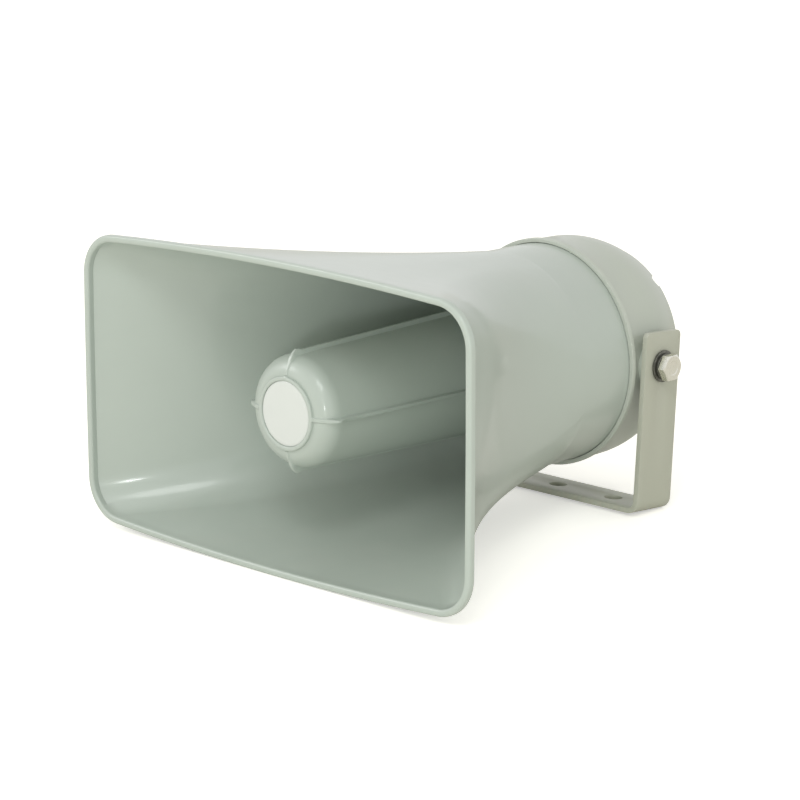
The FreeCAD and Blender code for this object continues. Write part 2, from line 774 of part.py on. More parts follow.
def cover_outline(inset):
    """Corners of the crown from its start to the rear face."""
    edge = crown_edge_radius - inset
    run = size("crown_length") - 3
    corners = [(crown_start, cover_radius - 0.4 - inset)]
    for share in (0.3, 0.55, 0.8):
        fall = (size("crown_fall") - 0.4) * share ** 2
        corners.append((crown_start + run * share, cover_radius - 0.4 - inset - fall))
    corners.append((cover_rear - 3 - inset * 0.3, edge))
    corners.append((cover_rear - 0.8 - inset, rear_face_radius + 1.4 - inset))
    corners.append((cover_rear - inset, rear_face_radius - 0.8 - inset))
    return corners


def make_rear_cover():
    body = new_body("rear_cover")
    lip_end = cover_front + size("cover_lip_length")
    wall = size("cover_wall")
    stop = neck_end + size("seal_thickness")
    turn_outline(body, "cover", [
        (cover_front, 0), (cover_front, cover_lip_radius - 0.6),
        (cover_front + 0.6, cover_lip_radius),
        (lip_end, cover_lip_radius), (lip_end + 0.8, cover_radius)]
        + cover_outline(0) + [(cover_rear, 0)])
    inside = cover_radius - wall
    groove(body, "cover_hollow", [
        (cover_front - 1, 0), (cover_front - 1, slide_radius), (stop, slide_radius),
        (stop, inside - 0.6)]
        + cover_outline(wall)[1:] + [(cover_inside, 0)])
    pillar = new_sketch(body, "pillar_outline", "XZ_Plane", -housing_rear)
    draw_on_circle(pillar, cover_screw_circle, size("pillar_radius"))
    pillars = pad(body, "pillar", pillar, screw_seat - housing_rear + 2, backwards=True)
    well = new_sketch(body, "well_outline", "XZ_Plane", -(cover_rear + 1))
    draw_on_circle(well, cover_screw_circle, size("screw_head_radius") + 0.5)
    wells = pocket(body, "well", well, size("well_depth") + 1, backwards=True)
    hole = new_sketch(body, "pillar_hole_outline", "XZ_Plane", -(housing_rear - 1))
    draw_on_circle(hole, cover_screw_circle, size("screw_radius"))
    holes = pocket(body, "pillar_hole", hole, cover_rear - housing_rear)
    around_axis(body, "pillars", [pillars, wells, holes], COVER_SCREWS)
    for side, turn in (("right", 1), ("left", -1)):
        boss = new_sketch(body, side + "_boss_outline", "YZ_Plane", boss_face * turn)
        draw_circle(boss, pivot_depth, 0, size("boss_radius"))
        raised = boss_face - slide_radius
        pad(body, side + "_boss", boss, raised, backwards=turn > 0)
        core = new_sketch(body, side + "_core_outline", "YZ_Plane", boss_face * turn)
        draw_circle(core, pivot_depth, 0, boss_core_radius)
        pad(body, side + "_core", core, size("insert_length") + size("cover_wall"),
            backwards=turn > 0)
        bore = new_sketch(body, side + "_insert_outline", "YZ_Plane", boss_face * turn)
        draw_circle(bore, pivot_depth, 0, insert_radius)
        pocket(body, side + "_insert_hole", bore, size("insert_length"), backwards=turn < 0)
    entry = new_sketch(body, "gland_hole_outline", "XZ_Plane", -(cover_inside - 2))
    draw_circle(entry, 0, -size("gland_drop"), size("gland_thread_radius"))
    pocket(body, "gland_hole", entry, size("cover_wall") + 4)
    place(body)
    return body


def make_cover_seal():
    return turned_piece("cover_seal", ring(neck_end, neck_end + size("seal_thickness"),
                                           neck_bore, size("neck_radius")))


# Pivot: inserts, bolts and washers on both sides

def side_piece(label, corners, side):
    """Turn (distance out, radius) corners about the pivot axis on one side."""
    body = new_body(label)
    sketch = new_sketch(body, label + "_outline", "XZ_Plane")
    draw_outline(sketch, corners)
    turned = body.newObject("PartDesign::Revolution", label + "_turning")
    turned.Profile = sketch
    turned.ReferenceAxis = (sketch, ["H_Axis"])
    turned.Angle = 360
    place(body, depth=pivot_depth)
    if side == "left":
        body.Placement.Rotation = FreeCAD.Rotation(FreeCAD.Vector(0, 0, 1), 180)
    return body


def make_pivot(side):
    bolt = size("bolt_radius")
    side_piece("pivot_insert_" + side, ring(boss_face - size("insert_length"), boss_face, bolt,
                                            insert_radius), side)
    side_piece("friction_washer_" + side, ring(
        boss_face, boss_face + size("friction_washer_thickness"), bolt + 0.1,
        size("boss_radius") - 0.5), side)
    washer = arm_outside + size("side_clearance")
    lock = washer + size("washer_thickness")
    head = lock + size("lock_washer_thickness")
    side_piece("flat_washer_" + side, ring(washer, lock, bolt + 0.1, size("washer_radius")), side)
    make_lock_washer(side, lock, head)
    make_pivot_bolt(side, head)


def make_lock_washer(side, start, end):
    """A split spring washer."""
    body = side_piece("lock_washer_" + side, ring(start, end, size("bolt_radius") + 0.1,
                                                  size("lock_washer_radius")), side)
    gap = new_sketch(body, "lock_washer_gap_" + side, "YZ_Plane", start - 1)
    draw_outline(gap, [(-0.7, 0), (0.7, 0), (0.7, size("lock_washer_radius") + 1),
                       (-0.7, size("lock_washer_radius") + 1)])
    pocket(body, "lock_washer_split_" + side, gap, end - start + 2, backwards=True)
    return body


def make_pivot_bolt(side, head):
    body = new_body("pivot_bolt_" + side)
    shank = new_sketch(body, "shank_outline_" + side, "YZ_Plane", head)
    draw_circle(shank, 0, 0, size("bolt_radius"))
    pad(body, "shank_" + side, shank, head - boss_face + size("bolt_reach"),
        backwards=True)
    cap = new_sketch(body, "head_outline_" + side, "YZ_Plane", head)
    draw_hexagon(cap, 0, 0, size("head_across_flats"))
    pad(body, "head_" + side, cap, size("head_height"))
    crown = new_sketch(body, "head_chamfer_outline_" + side, "XZ_Plane")
    top = head + size("head_height")
    corner = size("head_across_flats") / (2 * math.cos(math.pi / 6))
    draw_outline(crown, [(top + 1, size("head_across_flats") / 2 - 2), (top + 1, corner + 2),
                         (top - 1.6, corner + 2), (top - 1.6, corner + 0.4),
                         (top, size("head_across_flats") / 2 - 0.3)])
    cut = body.newObject("PartDesign::Groove", "head_chamfer_" + side)
    cut.Profile = crown
    cut.ReferenceAxis = (crown, ["H_Axis"])
    cut.Angle = 360
    place(body, depth=pivot_depth)
    if side == "left":
        body.Placement.Rotation = FreeCAD.Rotation(FreeCAD.Vector(0, 0, 1), 180)
    return body


# Bracket: one strip bent into a U, tilted as it stands

def make_bracket():
    body = new_body("bracket")
    outside, drop, top = arm_outside, base_drop, size("arm_top")
    thickness = size("strip_thickness")
    strip = new_sketch(body, "strip_outline", "XZ_Plane")
    draw_outline(strip, [
        (-outside, top), (-outside, -drop), (outside, -drop), (outside, top),
        (outside - thickness, top), (outside - thickness, -drop + thickness),
        (-outside + thickness, -drop + thickness), (-outside + thickness, top)])
    pad(body, "strip", strip, size("strip_width"), both_ways=True)
    base_hole = new_sketch(body, "fixing_hole_outline", "XY_Plane", -drop)
    for place_across in (-0.5, 0, 0.5):
        draw_circle(base_hole, size("fixing_spacing") * place_across, 0, size("fixing_hole_radius"))
    pocket(body, "fixing_holes", base_hole, thickness * 2, backwards=True)
    pivot = new_sketch(body, "pivot_hole_outline", "YZ_Plane", -(outside + 1))
    draw_circle(pivot, 0, 0, size("bolt_radius") + size("running_clearance"))
    pocket(body, "pivot_holes", pivot, outside * 2 + 2, backwards=True)
    round_edges(body, "outer_bends", size("bend_radius"), strip_edge_at(outside.value, -drop.value))
    round_edges(body, "inner_bends", size("bend_radius") - thickness,
                strip_edge_at((outside - thickness).value, (thickness - drop).value))
    round_edges(body, "arm_corners", size("arm_corner"), on_arm_top)
    place(body, depth=pivot_depth)
    body.Placement.Rotation = FreeCAD.Rotation(
        FreeCAD.Vector(1, 0, 0), -size("bracket_tilt").value)
    return body


def strip_edge_at(across, up):
    """Make a test for the edges along the strip's width at a bend."""
    def wanted(edge):
        box = edge.BoundBox
        if box.YLength < 1 or box.XLength > 0.1 or box.ZLength > 0.1:
            return False
        return abs(abs(box.XMin) - across) < 0.05 and abs(box.ZMin - up) < 0.05
    return wanted


def on_arm_top(edge):
    """Pick the short edges through the arm's thickness at its top."""
    box = edge.BoundBox
    return box.XLength > 1 and box.YLength < 0.1 and box.ZMin > size("arm_top").value - 0.05


# Cable gland on the rear face, and the terminal block behind the magnet

def make_gland():
    thread, bore = size("gland_thread_radius"), size("gland_bore")
    nut_seat = cover_rear + size("gland_flange_thickness")
    rear = nut_seat + size("gland_nut_length")
    body = turned_piece("gland_body", [
        (cover_inside - size("gland_locknut_thickness") - 1, bore),
        (cover_inside - size("gland_locknut_thickness") - 1, thread), (cover_rear, thread),
        (cover_rear, gland_flange_radius), (nut_seat, gland_flange_radius),
        (nut_seat, thread - 0.4), (rear - 3.0, thread - 0.4), (rear - 3.0, bore + 1.2),
        (cover_rear - 1.0, bore + 1.2), (cover_rear - 1.0, bore)], up=-size("gland_drop"))
    turned_piece("gland_seal", ring(cover_rear - 1.0, rear - 2.6, bore, bore + 1.2),
                 up=-size("gland_drop"))
    nut = turned_piece("gland_nut", [
        (nut_seat, thread - 0.4), (nut_seat, gland_nut_radius),
        (rear - 1.6, gland_nut_radius), (rear, gland_nut_radius - 2.2),
        (rear, bore), (rear - 2.6, bore), (rear - 2.6, thread - 0.4)], up=-size("gland_drop"))
    locknut = new_body("gland_locknut")
    shape = new_sketch(locknut, "locknut_outline", "XZ_Plane", -cover_inside)
    draw_hexagon(shape, 0, 0, gland_flange_radius * 2 - 2)
    draw_circle(shape, 0, 0, thread)
    pad(locknut, "locknut", shape, size("gland_locknut_thickness"))
    place(locknut, up=-size("gland_drop"))
    return body, nut


def make_terminals():
    body = new_body("terminal_block")
    half, height = size("terminal_width") / 2, size("terminal_height") / 2
    outline = new_sketch(body, "block_outline", "XZ_Plane", -yoke_rear)
    draw_outline(outline, [(-half, -height), (half, -height), (half, height), (-half, height)])
    pad(body, "block", outline, size("terminal_depth"), backwards=True)
    entries = new_sketch(body, "terminal_hole_outline", "XZ_Plane",
                         -(yoke_rear + size("terminal_depth")))
    for share in (-0.5, 0.5):
        draw_circle(entries, half * share, 0, 2.4)
    pocket(body, "terminal_holes", entries, size("terminal_depth") - 3, backwards=True)
    place(body, up=size("terminal_height"))
    return body


make_bell()
make_reflex_horn()
make_badge()
make_throat_tube()
make_nose_screw()
make_driver_housing()
make_phase_plug()
make_diaphragm()
make_driver_rings()
screw_set("top_plate_screws", plate_screw_circle, plate_rear,
          size("plate_thickness") + size("ring_thickness") + size("housing_thickness") - 3,
          0.0, PLATE_SCREWS, size("screw_head_radius") - 0.9)
make_rear_cover()
make_cover_seal()
screw_set("cover_screws", cover_screw_circle, screw_seat,
          screw_seat - pocket_depth - 1, 45.0, COVER_SCREWS, size("screw_head_radius"))
for side_name in ("left", "right"):
    make_pivot(side_name)
make_bracket()
make_gland()
make_terminals()
document.recompute()

failed = [item.Name for item in document.Objects
          if "Invalid" in item.State or "Error" in item.State]
if failed:
    raise RuntimeError("failed: %s" % failed)
pieces = [item for item in document.Objects
          if item.TypeId in ("PartDesign::Body", "Part::Compound")]
os.makedirs("parts", exist_ok=True)
for item in pieces:
    shape = item.Shape
    if shape.isNull() or not shape.isValid():
        raise RuntimeError("bad shape: " + item.Label)
    shape.exportStep("parts/%s.step" % item.Label)
    print(item.Label, len(shape.Solids), round(shape.Volume / 1000, 2))
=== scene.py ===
import bmesh
import bpy
import json
import math
from mathutils import Matrix, Vector


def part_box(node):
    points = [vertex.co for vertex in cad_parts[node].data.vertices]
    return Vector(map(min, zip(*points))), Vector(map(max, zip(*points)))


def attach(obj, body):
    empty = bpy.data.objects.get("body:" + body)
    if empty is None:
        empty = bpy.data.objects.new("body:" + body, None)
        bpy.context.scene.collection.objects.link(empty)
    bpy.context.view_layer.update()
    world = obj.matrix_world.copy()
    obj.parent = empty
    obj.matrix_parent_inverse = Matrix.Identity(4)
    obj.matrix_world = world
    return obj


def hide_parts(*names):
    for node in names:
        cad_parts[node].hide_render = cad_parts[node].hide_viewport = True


bl_info = {
    "name": "PA Horn Speaker",
    "version": (1, 0, 0),
    "blender": (4, 5, 0),
    "location": "3D View > Sidebar > Horn",
    "description": "Dresses the frame of a public-address horn speaker with finished pieces",
    "category": "Object",
}

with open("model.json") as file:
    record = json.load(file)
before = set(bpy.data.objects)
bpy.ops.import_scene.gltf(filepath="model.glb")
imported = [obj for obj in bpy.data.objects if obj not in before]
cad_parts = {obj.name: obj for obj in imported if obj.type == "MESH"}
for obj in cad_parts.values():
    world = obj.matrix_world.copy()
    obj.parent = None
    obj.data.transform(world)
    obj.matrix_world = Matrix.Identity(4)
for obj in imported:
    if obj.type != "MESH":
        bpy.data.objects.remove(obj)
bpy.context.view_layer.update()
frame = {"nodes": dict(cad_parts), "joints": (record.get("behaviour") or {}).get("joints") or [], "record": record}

# Places read from the frame. A depth is a distance behind the mouth's front edge.
BELL_LOW, BELL_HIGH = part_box("horn_bell")
COVER_LOW, COVER_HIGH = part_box("rear_cover")
NOSE_LOW, NOSE_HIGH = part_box("reflex_horn")
BADGE_LOW, BADGE_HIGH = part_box("nose_badge")
TUBE_LOW, TUBE_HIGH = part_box("throat_tube")
SCREWS_LOW, SCREWS_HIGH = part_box("cover_screws")
STRIP_LOW, STRIP_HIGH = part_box("bracket")
FLANGE_LOW, FLANGE_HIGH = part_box("gland_body")
NUT_LOW, NUT_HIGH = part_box("gland_nut")
FRONT = BELL_LOW.y
AXIS_HEIGHT = (BELL_LOW.z + BELL_HIGH.z) / 2
TILT_JOINT = next(joint for joint in frame["joints"] if joint["name"] == "horn_tilt")
PIVOT = Vector(TILT_JOINT["pos_m"])
FULL_TURN = 2 * math.pi
QUARTER = math.pi / 2


def length(name, default, description):
    """A size in metres for the sidebar."""
    return bpy.props.FloatProperty(name=name, description=description, default=default,
                                   subtype="DISTANCE", unit="LENGTH", precision=4)


def angle(name, degrees, description):
    return bpy.props.FloatProperty(name=name, description=description,
                                   default=math.radians(degrees), subtype="ANGLE")


def factor(name, default, description):
    return bpy.props.FloatProperty(name=name, description=description, default=default)


def colour(name, default, description):
    return bpy.props.FloatVectorProperty(name=name, description=description, default=default,
                                         size=3, subtype="COLOR", min=0.0, max=1.0)


class BellSizes(bpy.types.PropertyGroup):
    lip_width: length("Lip width", 0.004, "Width of the rim round the mouth")
    lip_depth: length("Lip depth", 0.004, "How far the rim reaches back")
    lip_crown: length("Lip crown", 0.0018, "How far the rim's front rounds over")
    wall: length("Wall", 0.0026, "Thickness of the flare")
    corner: length("Corner", 0.0234, "Radius of the mouth's corners")
    edge_bow: length("Edge bow", 0.0035, "Rise of the mouth's long edges")
    neck_radius: length("Neck radius", 0.062, "Outside radius of the round neck")
    flare_end: length("Flare end", 0.184, "Depth at which the flare is round")
    bulkhead: length("Bulkhead", 0.206, "Depth of the wall behind the flare")
    bulkhead_wall: length("Bulkhead wall", 0.004, "Thickness of that wall")
    bulkhead_round: length("Bulkhead round", 0.006, "Radius where it meets the neck")
    driver_ring: length("Driver ring", 0.0575, "Radius of the seat for the driver")
    tube_flange: length("Tube flange", 0.0303, "Radius of the seat for the throat tube")
    tube_hole: length("Tube hole", 0.0158, "Radius of the throat tube's hole")
    width_power: factor("Width power", 2.31, "How fast the width closes")
    height_power: factor("Height power", 1.11, "How fast the height closes")
    corner_power: factor("Corner power", 0.47, "How fast the corners round")


class NoseSizes(bpy.types.PropertyGroup):
    face_depth: length("Face depth", 0.015, "Depth of the nose's flat face")
    ring_inside: length("Ring inside", 0.01735, "Radius of the badge's seat")
    ring_radius: length("Ring radius", 0.0196, "Outside radius of the badge ring")
    seat_depth: length("Seat depth", 0.0148, "Depth of the badge's seat")
    shoulder_depth: length("Shoulder depth", 0.026, "Depth at which the shoulder ends")
    shoulder_radius: length("Shoulder radius", 0.030, "Radius behind the shoulder")
    end_radius: length("End radius", 0.0348, "Radius at the open end")
    wall: length("Wall", 0.0022, "Thickness of the reflex horn")
    rib_width: length("Rib width", 0.0024, "Width of each rib")
    rib_height: length("Rib height", 0.0022, "How far a rib stands out")
    rib_point: length("Rib point", 0.0016, "How far a rib's tip stands above it")
    post_radius: length("Post radius", 0.0055, "Radius of the screw post")
    post_end: length("Post end", 0.029, "Depth at which the post ends")
    screw_radius: length("Screw radius", 0.002, "Radius of the nose screw")
    screw_head: length("Screw head", 0.004, "Radius of its countersunk seat")
    screw_seat: length("Screw seat", 0.0174, "Depth of that seat")


class TubeSizes(bpy.types.PropertyGroup):
    front_radius: length("Front radius", 0.013, "Outside radius at the front")
    rear_radius: length("Rear radius", 0.0158, "Outside radius at the bulkhead")
    wall: length("Wall", 0.0018, "Thickness of the tube")
    throat_radius: length("Throat radius", 0.0125, "Radius of the driver's throat")
    flange_thickness: length("Flange thickness", 0.004, "Thickness of the rear flange")
    fin_thickness: length("Fin thickness", 0.002, "Thickness of the front's fins")
    fin_length: length("Fin length", 0.010, "Length of the fins and their boss")


class CoverSizes(bpy.types.PropertyGroup):
    lip_radius: length("Lip radius", 0.0646, "Radius of the front lip")
    lip_length: length("Lip length", 0.0032, "Length of the front lip")
    radius: length("Radius", 0.0636, "Radius behind the lip")
    slide_radius: length("Slide radius", 0.0623, "Inside radius over the neck")
    stop_depth: length("Stop depth", 0.2276, "Depth of the stop behind the seal")
    crown_start: length("Crown start", 0.238, "Depth at which the crown begins")
    crown_fall: length("Crown fall", 0.0084, "How far the crown closes")
    edge_width: length("Edge width", 0.0042, "Width of the rounded rear edge")
    wall: length("Wall", 0.0026, "Thickness of the cover")
    boss_radius: length("Boss radius", 0.0125, "Radius of the pivot bosses")
    core_radius: length("Core radius", 0.0072, "Radius of a boss inside the cover")
    insert_radius: length("Insert radius", 0.0054, "Radius of the threaded insert")
    insert_length: length("Insert length", 0.013, "Length of the threaded insert")
    pillar_radius: length("Pillar radius", 0.005, "Radius of a screw pillar")
    pillar_front: length("Pillar front", 0.222, "Depth at which the pillars begin")
    well_radius: length("Well radius", 0.0042, "Radius of a screw well")
    well_depth: length("Well depth", 0.009, "Depth of a screw well")
    screw_circle: length("Screw circle", 0.053, "Radius of the circle of screws")


class PivotSizes(bpy.types.PropertyGroup):
    bolt_radius: length("Bolt radius", 0.004, "Radius of the pivot bolt")
    across_flats: length("Across flats", 0.014, "Width of the bolt's head")
    washer_round: length("Washer round", 0.0003, "Rounding of the washers' edges")
    split_gap: length("Split gap", 0.0014, "Gap in the spring washer")


class StripSizes(bpy.types.PropertyGroup):
    width: length("Width", 0.029, "Width of the bracket's strip")
    thickness: length("Thickness", 0.003, "Thickness of the strip")
    bend_radius: length("Bend radius", 0.007, "Outside radius of the bends")
    corner: length("Corner", 0.003, "Radius of the arms' top corners")
    arm_top: length("Arm top", 0.0192, "How far an arm reaches above the pivot")
    tilt: angle("Tilt", 3.75, "How far the bracket leans back")
    hole_radius: length("Hole radius", 0.0052, "Radius of the fixing holes")
    hole_spacing: length("Hole spacing", 0.041, "Distance from the middle to an outer hole")
    pivot_hole: length("Pivot hole", 0.00408, "Radius of the pivot holes")
    edge_round: length("Edge round", 0.00045, "Rounding of the strip's edges")


class FinishColours(bpy.types.PropertyGroup):
    horn: colour("Horn", (0.448, 0.505, 0.455), "Moulded plastic of the bell and nose")
    cover: colour("Cover", (0.462, 0.502, 0.438), "Moulded plastic of the rear cover")
    paint: colour("Paint", (0.452, 0.466, 0.385), "Powder coat of the bracket")
    badge: colour("Badge", (0.66, 0.69, 0.66), "Enamel of the nose disc")
    zinc: colour("Zinc", (0.74, 0.73, 0.66), "Zinc plate of the bolts")
    black: colour("Black", (0.014, 0.014, 0.014), "Blackened steel, rubber and nylon")


class StageSizes(bpy.types.PropertyGroup):
    azimuth: angle("Azimuth", 43.92, "Camera's turn round the horn")
    elevation: angle("Elevation", 13.56, "Camera's angle above the horizon")
    distance: length("Distance", 1.60695, "Camera's distance from its target")
    target_depth: length("Target depth", 0.100, "Depth of the camera's target")
    shift_right: length("Shift right", -0.0005, "Target's shift to the right")
    shift_up: length("Shift up", -0.00739, "Target's shift upwards")
    lens: factor("Lens", 135.0, "Focal length in millimetres")


SETTINGS = {
    "horn_bell_sizes": BellSizes,
    "horn_nose_sizes": NoseSizes,
    "horn_tube_sizes": TubeSizes,
    "horn_cover_sizes": CoverSizes,
    "horn_pivot_sizes": PivotSizes,
    "horn_strip_sizes": StripSizes,
    "horn_colours": FinishColours,
    "horn_stage_sizes": StageSizes,
}


# Mesh helpers

def new_shape(points, closed):
    """Start a mesh from a chain of points (along, radius) beside the Y axis."""
    shape = bmesh.new()
    verts = [shape.verts.new((radius, along, 0)) for along, radius in points]
    for start, end in zip(verts, verts[1:]):
        shape.edges.new((start, end))
    if closed:
        shape.edges.new((verts[-1], verts[0]))
    return shape


def turned(points, steps=96, closed=True):
    """Spin a chain of (along, radius) points about the Y axis into a closed skin."""
    shape = new_shape(points, closed)
    bmesh.ops.spin(shape, geom=shape.verts[:] + shape.edges[:], cent=(0, 0, 0), axis=(0, 1, 0),
                   dvec=(0, 0, 0), angle=FULL_TURN, steps=steps, use_merge=True)
    bmesh.ops.remove_doubles(shape, verts=shape.verts[:], dist=1e-6)
    bmesh.ops.recalc_face_normals(shape, faces=shape.faces[:])
    return shape


def soften(shape, width, segments=2, least=30.0):
    """Round every edge that turns more than an angle in degrees."""
    limit = math.radians(least)
    edges = [edge for edge in shape.edges
             if len(edge.link_faces) == 2 and edge.calc_face_angle() > limit]
    bmesh.ops.bevel(shape, geom=edges, offset=width, offset_type="OFFSET", segments=segments,
                    profile=0.5, affect="EDGES", clamp_overlap=True, material=-1)
    bmesh.ops.recalc_face_normals(shape, faces=shape.faces[:])
    return shape


def joined(shapes):
    """Put several meshes into one."""
    whole = shapes[0]
    for part in shapes[1:]:
        spare = bpy.data.meshes.new("spare")
        part.to_mesh(spare)
        part.free()
        whole.from_mesh(spare)
        bpy.data.meshes.remove(spare)
    return whole


def combined(shape, tool, operation):
    """Join a closed tool to a shape, or cut it away, and return the new shape."""
    holders = []
    for name, part in (("combined_base", shape), ("combined_tool", tool)):
        mesh = bpy.data.meshes.new(name)
        part.to_mesh(mesh)
        part.free()
        holder = bpy.data.objects.new(name, mesh)
        bpy.context.scene.collection.objects.link(holder)
        holders.append(holder)
    base, cutter = holders
    modifier = base.modifiers.new("combine", "BOOLEAN")
    modifier.operation = operation
    modifier.solver = "EXACT"
    modifier.object = cutter
    graph = bpy.context.evaluated_depsgraph_get()
    result = bpy.data.meshes.new_from_object(base.evaluated_get(graph))
    whole = bmesh.new()
    whole.from_mesh(result)
    bpy.data.meshes.remove(result)
    for holder in holders:
        mesh = holder.data
        bpy.data.objects.remove(holder)
        bpy.data.meshes.remove(mesh)
    return whole


def skinned(rings, count):
    """Skin a closed surface through rings, each a depth and its (across, up) outline."""
    shape = bmesh.new()
    station = shape.verts.layers.int.new("station")
    first = bmesh.ops.create_circle(shape, segments=count, radius=1.0)["verts"]
    for index, vert in enumerate(first):
        vert[station] = index
    first_edges = edges = shape.edges[:]
    verts = first
    for number, (depth, outline) in enumerate(rings):
        if number:
            made = bmesh.ops.extrude_edge_only(shape, edges=edges)["geom"]
            verts = [item for item in made if isinstance(item, bmesh.types.BMVert)]
            fresh = set(verts)
            edges = [item for item in made if isinstance(item, bmesh.types.BMEdge)
                     and item.verts[0] in fresh and item.verts[1] in fresh]
        for vert in verts:
            across, up = outline[vert[station]]
            vert.co = (across, depth, up)
    bmesh.ops.bridge_loops(shape, edges=first_edges + edges)
    bmesh.ops.recalc_face_normals(shape, faces=shape.faces[:])
    return shape


def on_axis(depth=0.0, across=0.0, up=0.0):
    """Place a shape made beside the Y axis on the horn's axis."""
    return Matrix.Translation((across, FRONT + depth, AXIS_HEIGHT + up))


def on_pivot(side):
    """Place a shape made beside the Y axis on the pivot's axis, pointing outwards."""
    turn = -QUARTER if side == "right" else QUARTER
    return Matrix.Translation(PIVOT) @ Matrix.Rotation(turn, 4, "Z")


def add_piece(name, shape, place, body, replaced, material, sharp=38.0):
    """Turn a shape into a finished piece that rides on a body."""
    shape.transform(place)
    limit = math.radians(sharp)
    for face in shape.faces:
        face.smooth = True
        face.material_index = 0
    for edge in shape.edges:
        edge.smooth = len(edge.link_faces) != 2 or edge.calc_face_angle() < limit
    mesh = bpy.data.meshes.new(name)
    shape.to_mesh(mesh)
    shape.free()
    mesh.materials.append(material)
    piece = bpy.data.objects.new(name, mesh)
    bpy.context.scene.collection.objects.link(piece)
    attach(piece, body)
    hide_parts(*replaced)
    return piece


# Shader groups: each puts out colours, masks, values or heights only

def shader_group(name, inputs, outputs):
    """Make a node group with its named sockets, and return it with its two end nodes."""
    group = bpy.data.node_groups.new(name, "ShaderNodeTree")
    for label, kind, default in inputs:
        socket = group.interface.new_socket(name=label, in_out="INPUT", socket_type=kind)
        socket.default_value = default
    for label, kind in outputs:
        group.interface.new_socket(name=label, in_out="OUTPUT", socket_type=kind)
    return group, group.nodes.new("NodeGroupInput"), group.nodes.new("NodeGroupOutput")


def add_math(group, operation, first, second, clamp=False):
    """Add a Math node; each side is a socket or a number."""
    node = group.nodes.new("ShaderNodeMath")
    node.operation = operation
    node.use_clamp = clamp
    for socket, value in zip(node.inputs, (first, second)):
        if isinstance(value, (int, float)):
            socket.default_value = value
        else:
            group.links.new(value, socket)
    return node.outputs[0]


def add_noise(group, vector, scale, detail=3.0):
    """Add a Noise texture whose scale is a socket or a number."""
    node = group.nodes.new("ShaderNodeTexNoise")
    node.inputs["Detail"].default_value = detail
    group.links.new(vector, node.inputs["Vector"])
    if isinstance(scale, (int, float)):
        node.inputs["Scale"].default_value = scale
    else:
        group.links.new(scale, node.inputs["Scale"])
    return node.outputs["Fac"]


def add_range(group, value, low, high, new_low, new_high):
    """Add a clamped Map Range; each bound is a socket or a number."""
    node = group.nodes.new("ShaderNodeMapRange")
    group.links.new(value, node.inputs["Value"])
    bounds = (("From Min", low), ("From Max", high), ("To Min", new_low), ("To Max", new_high))
    for label, bound in bounds:
        if isinstance(bound, (int, float)):
            node.inputs[label].default_value = bound
        else:
            group.links.new(bound, node.inputs[label])
    return node.outputs["Result"]


def add_mix(group, mask, first, second):
    """Mix two colours by a mask socket."""
    node = group.nodes.new("ShaderNodeMix")
    node.data_type = "RGBA"
    group.links.new(mask, node.inputs["Factor"])
    for socket, value in ((node.inputs[6], first), (node.inputs[7], second)):
        if isinstance(value, tuple):
            socket.default_value = value
        else:
            group.links.new(value, socket)
    return node.outputs[2]


def object_vector(group):
    return group.nodes.new("ShaderNodeTexCoord").outputs["Object"]


def moulded_skin_group():
    """Moulded plastic: cloudy tone, fine grain and an uneven polish."""
    group, given, result = shader_group(
        "Moulded Skin",
        [("Color", "NodeSocketColor", (0.5, 0.5, 0.5, 1)), ("Cloud", "NodeSocketFloat", 0.04),
         ("Cloud Scale", "NodeSocketFloat", 22.0), ("Grain Scale", "NodeSocketFloat", 2400.0),
         ("Roughness", "NodeSocketFloat", 0.4), ("Polish Spread", "NodeSocketFloat", 0.08)],
        [("Color", "NodeSocketColor"), ("Roughness", "NodeSocketFloat"),
         ("Height", "NodeSocketFloat")])
    where = object_vector(group)
    cloud = add_noise(group, where, given.outputs["Cloud Scale"], 4.0)
    darker = group.nodes.new("ShaderNodeVectorMath")
    darker.operation = "SCALE"
    group.links.new(given.outputs["Color"], darker.inputs[0])
    lift = add_math(group, "MULTIPLY", add_math(group, "SUBTRACT", cloud, 0.5),
                    given.outputs["Cloud"])
    group.links.new(add_math(group, "ADD", lift, 1.0), darker.inputs["Scale"])
    group.links.new(darker.outputs[0], result.inputs["Color"])
    polish = add_noise(group, where, 90.0, 3.0)
    spread = add_math(group, "MULTIPLY", add_math(group, "SUBTRACT", polish, 0.5),
                      given.outputs["Polish Spread"])
    group.links.new(add_math(group, "ADD", given.outputs["Roughness"], spread, True),
                    result.inputs["Roughness"])
    group.links.new(add_noise(group, where, given.outputs["Grain Scale"], 2.0),
                    result.inputs["Height"])
    return group


def edge_wear_highlight_group():
    """Convex edges lightened to another tone, broken up by noise: partly wear, partly a painted highlight where
    the edges catch the light.
    """
    group, given, result = shader_group(
        "Edge Wear And Highlight",
        [("Color", "NodeSocketColor", (0.5, 0.5, 0.5, 1)),
         ("Edge Color", "NodeSocketColor", (0.7, 0.7, 0.7, 1)),
         ("Amount", "NodeSocketFloat", 0.5), ("Start", "NodeSocketFloat", 0.52),
         ("Full", "NodeSocketFloat", 0.60), ("Breakup Scale", "NodeSocketFloat", 160.0)],
        [("Color", "NodeSocketColor"), ("Mask", "NodeSocketFloat")])
    edge = add_range(group, group.nodes.new("ShaderNodeNewGeometry").outputs["Pointiness"],
                     given.outputs["Start"], given.outputs["Full"], 0.0, 1.0)
    patches = add_range(group, add_noise(group, object_vector(group),
                                         given.outputs["Breakup Scale"]), 0.35, 0.65, 0.35, 1.0)
    mask = add_math(group, "MULTIPLY", add_math(group, "MULTIPLY", edge, patches),
                    given.outputs["Amount"], True)
    group.links.new(add_mix(group, mask, given.outputs["Color"], given.outputs["Edge Color"]),
                    result.inputs["Color"])
    group.links.new(mask, result.inputs["Mask"])
    return group


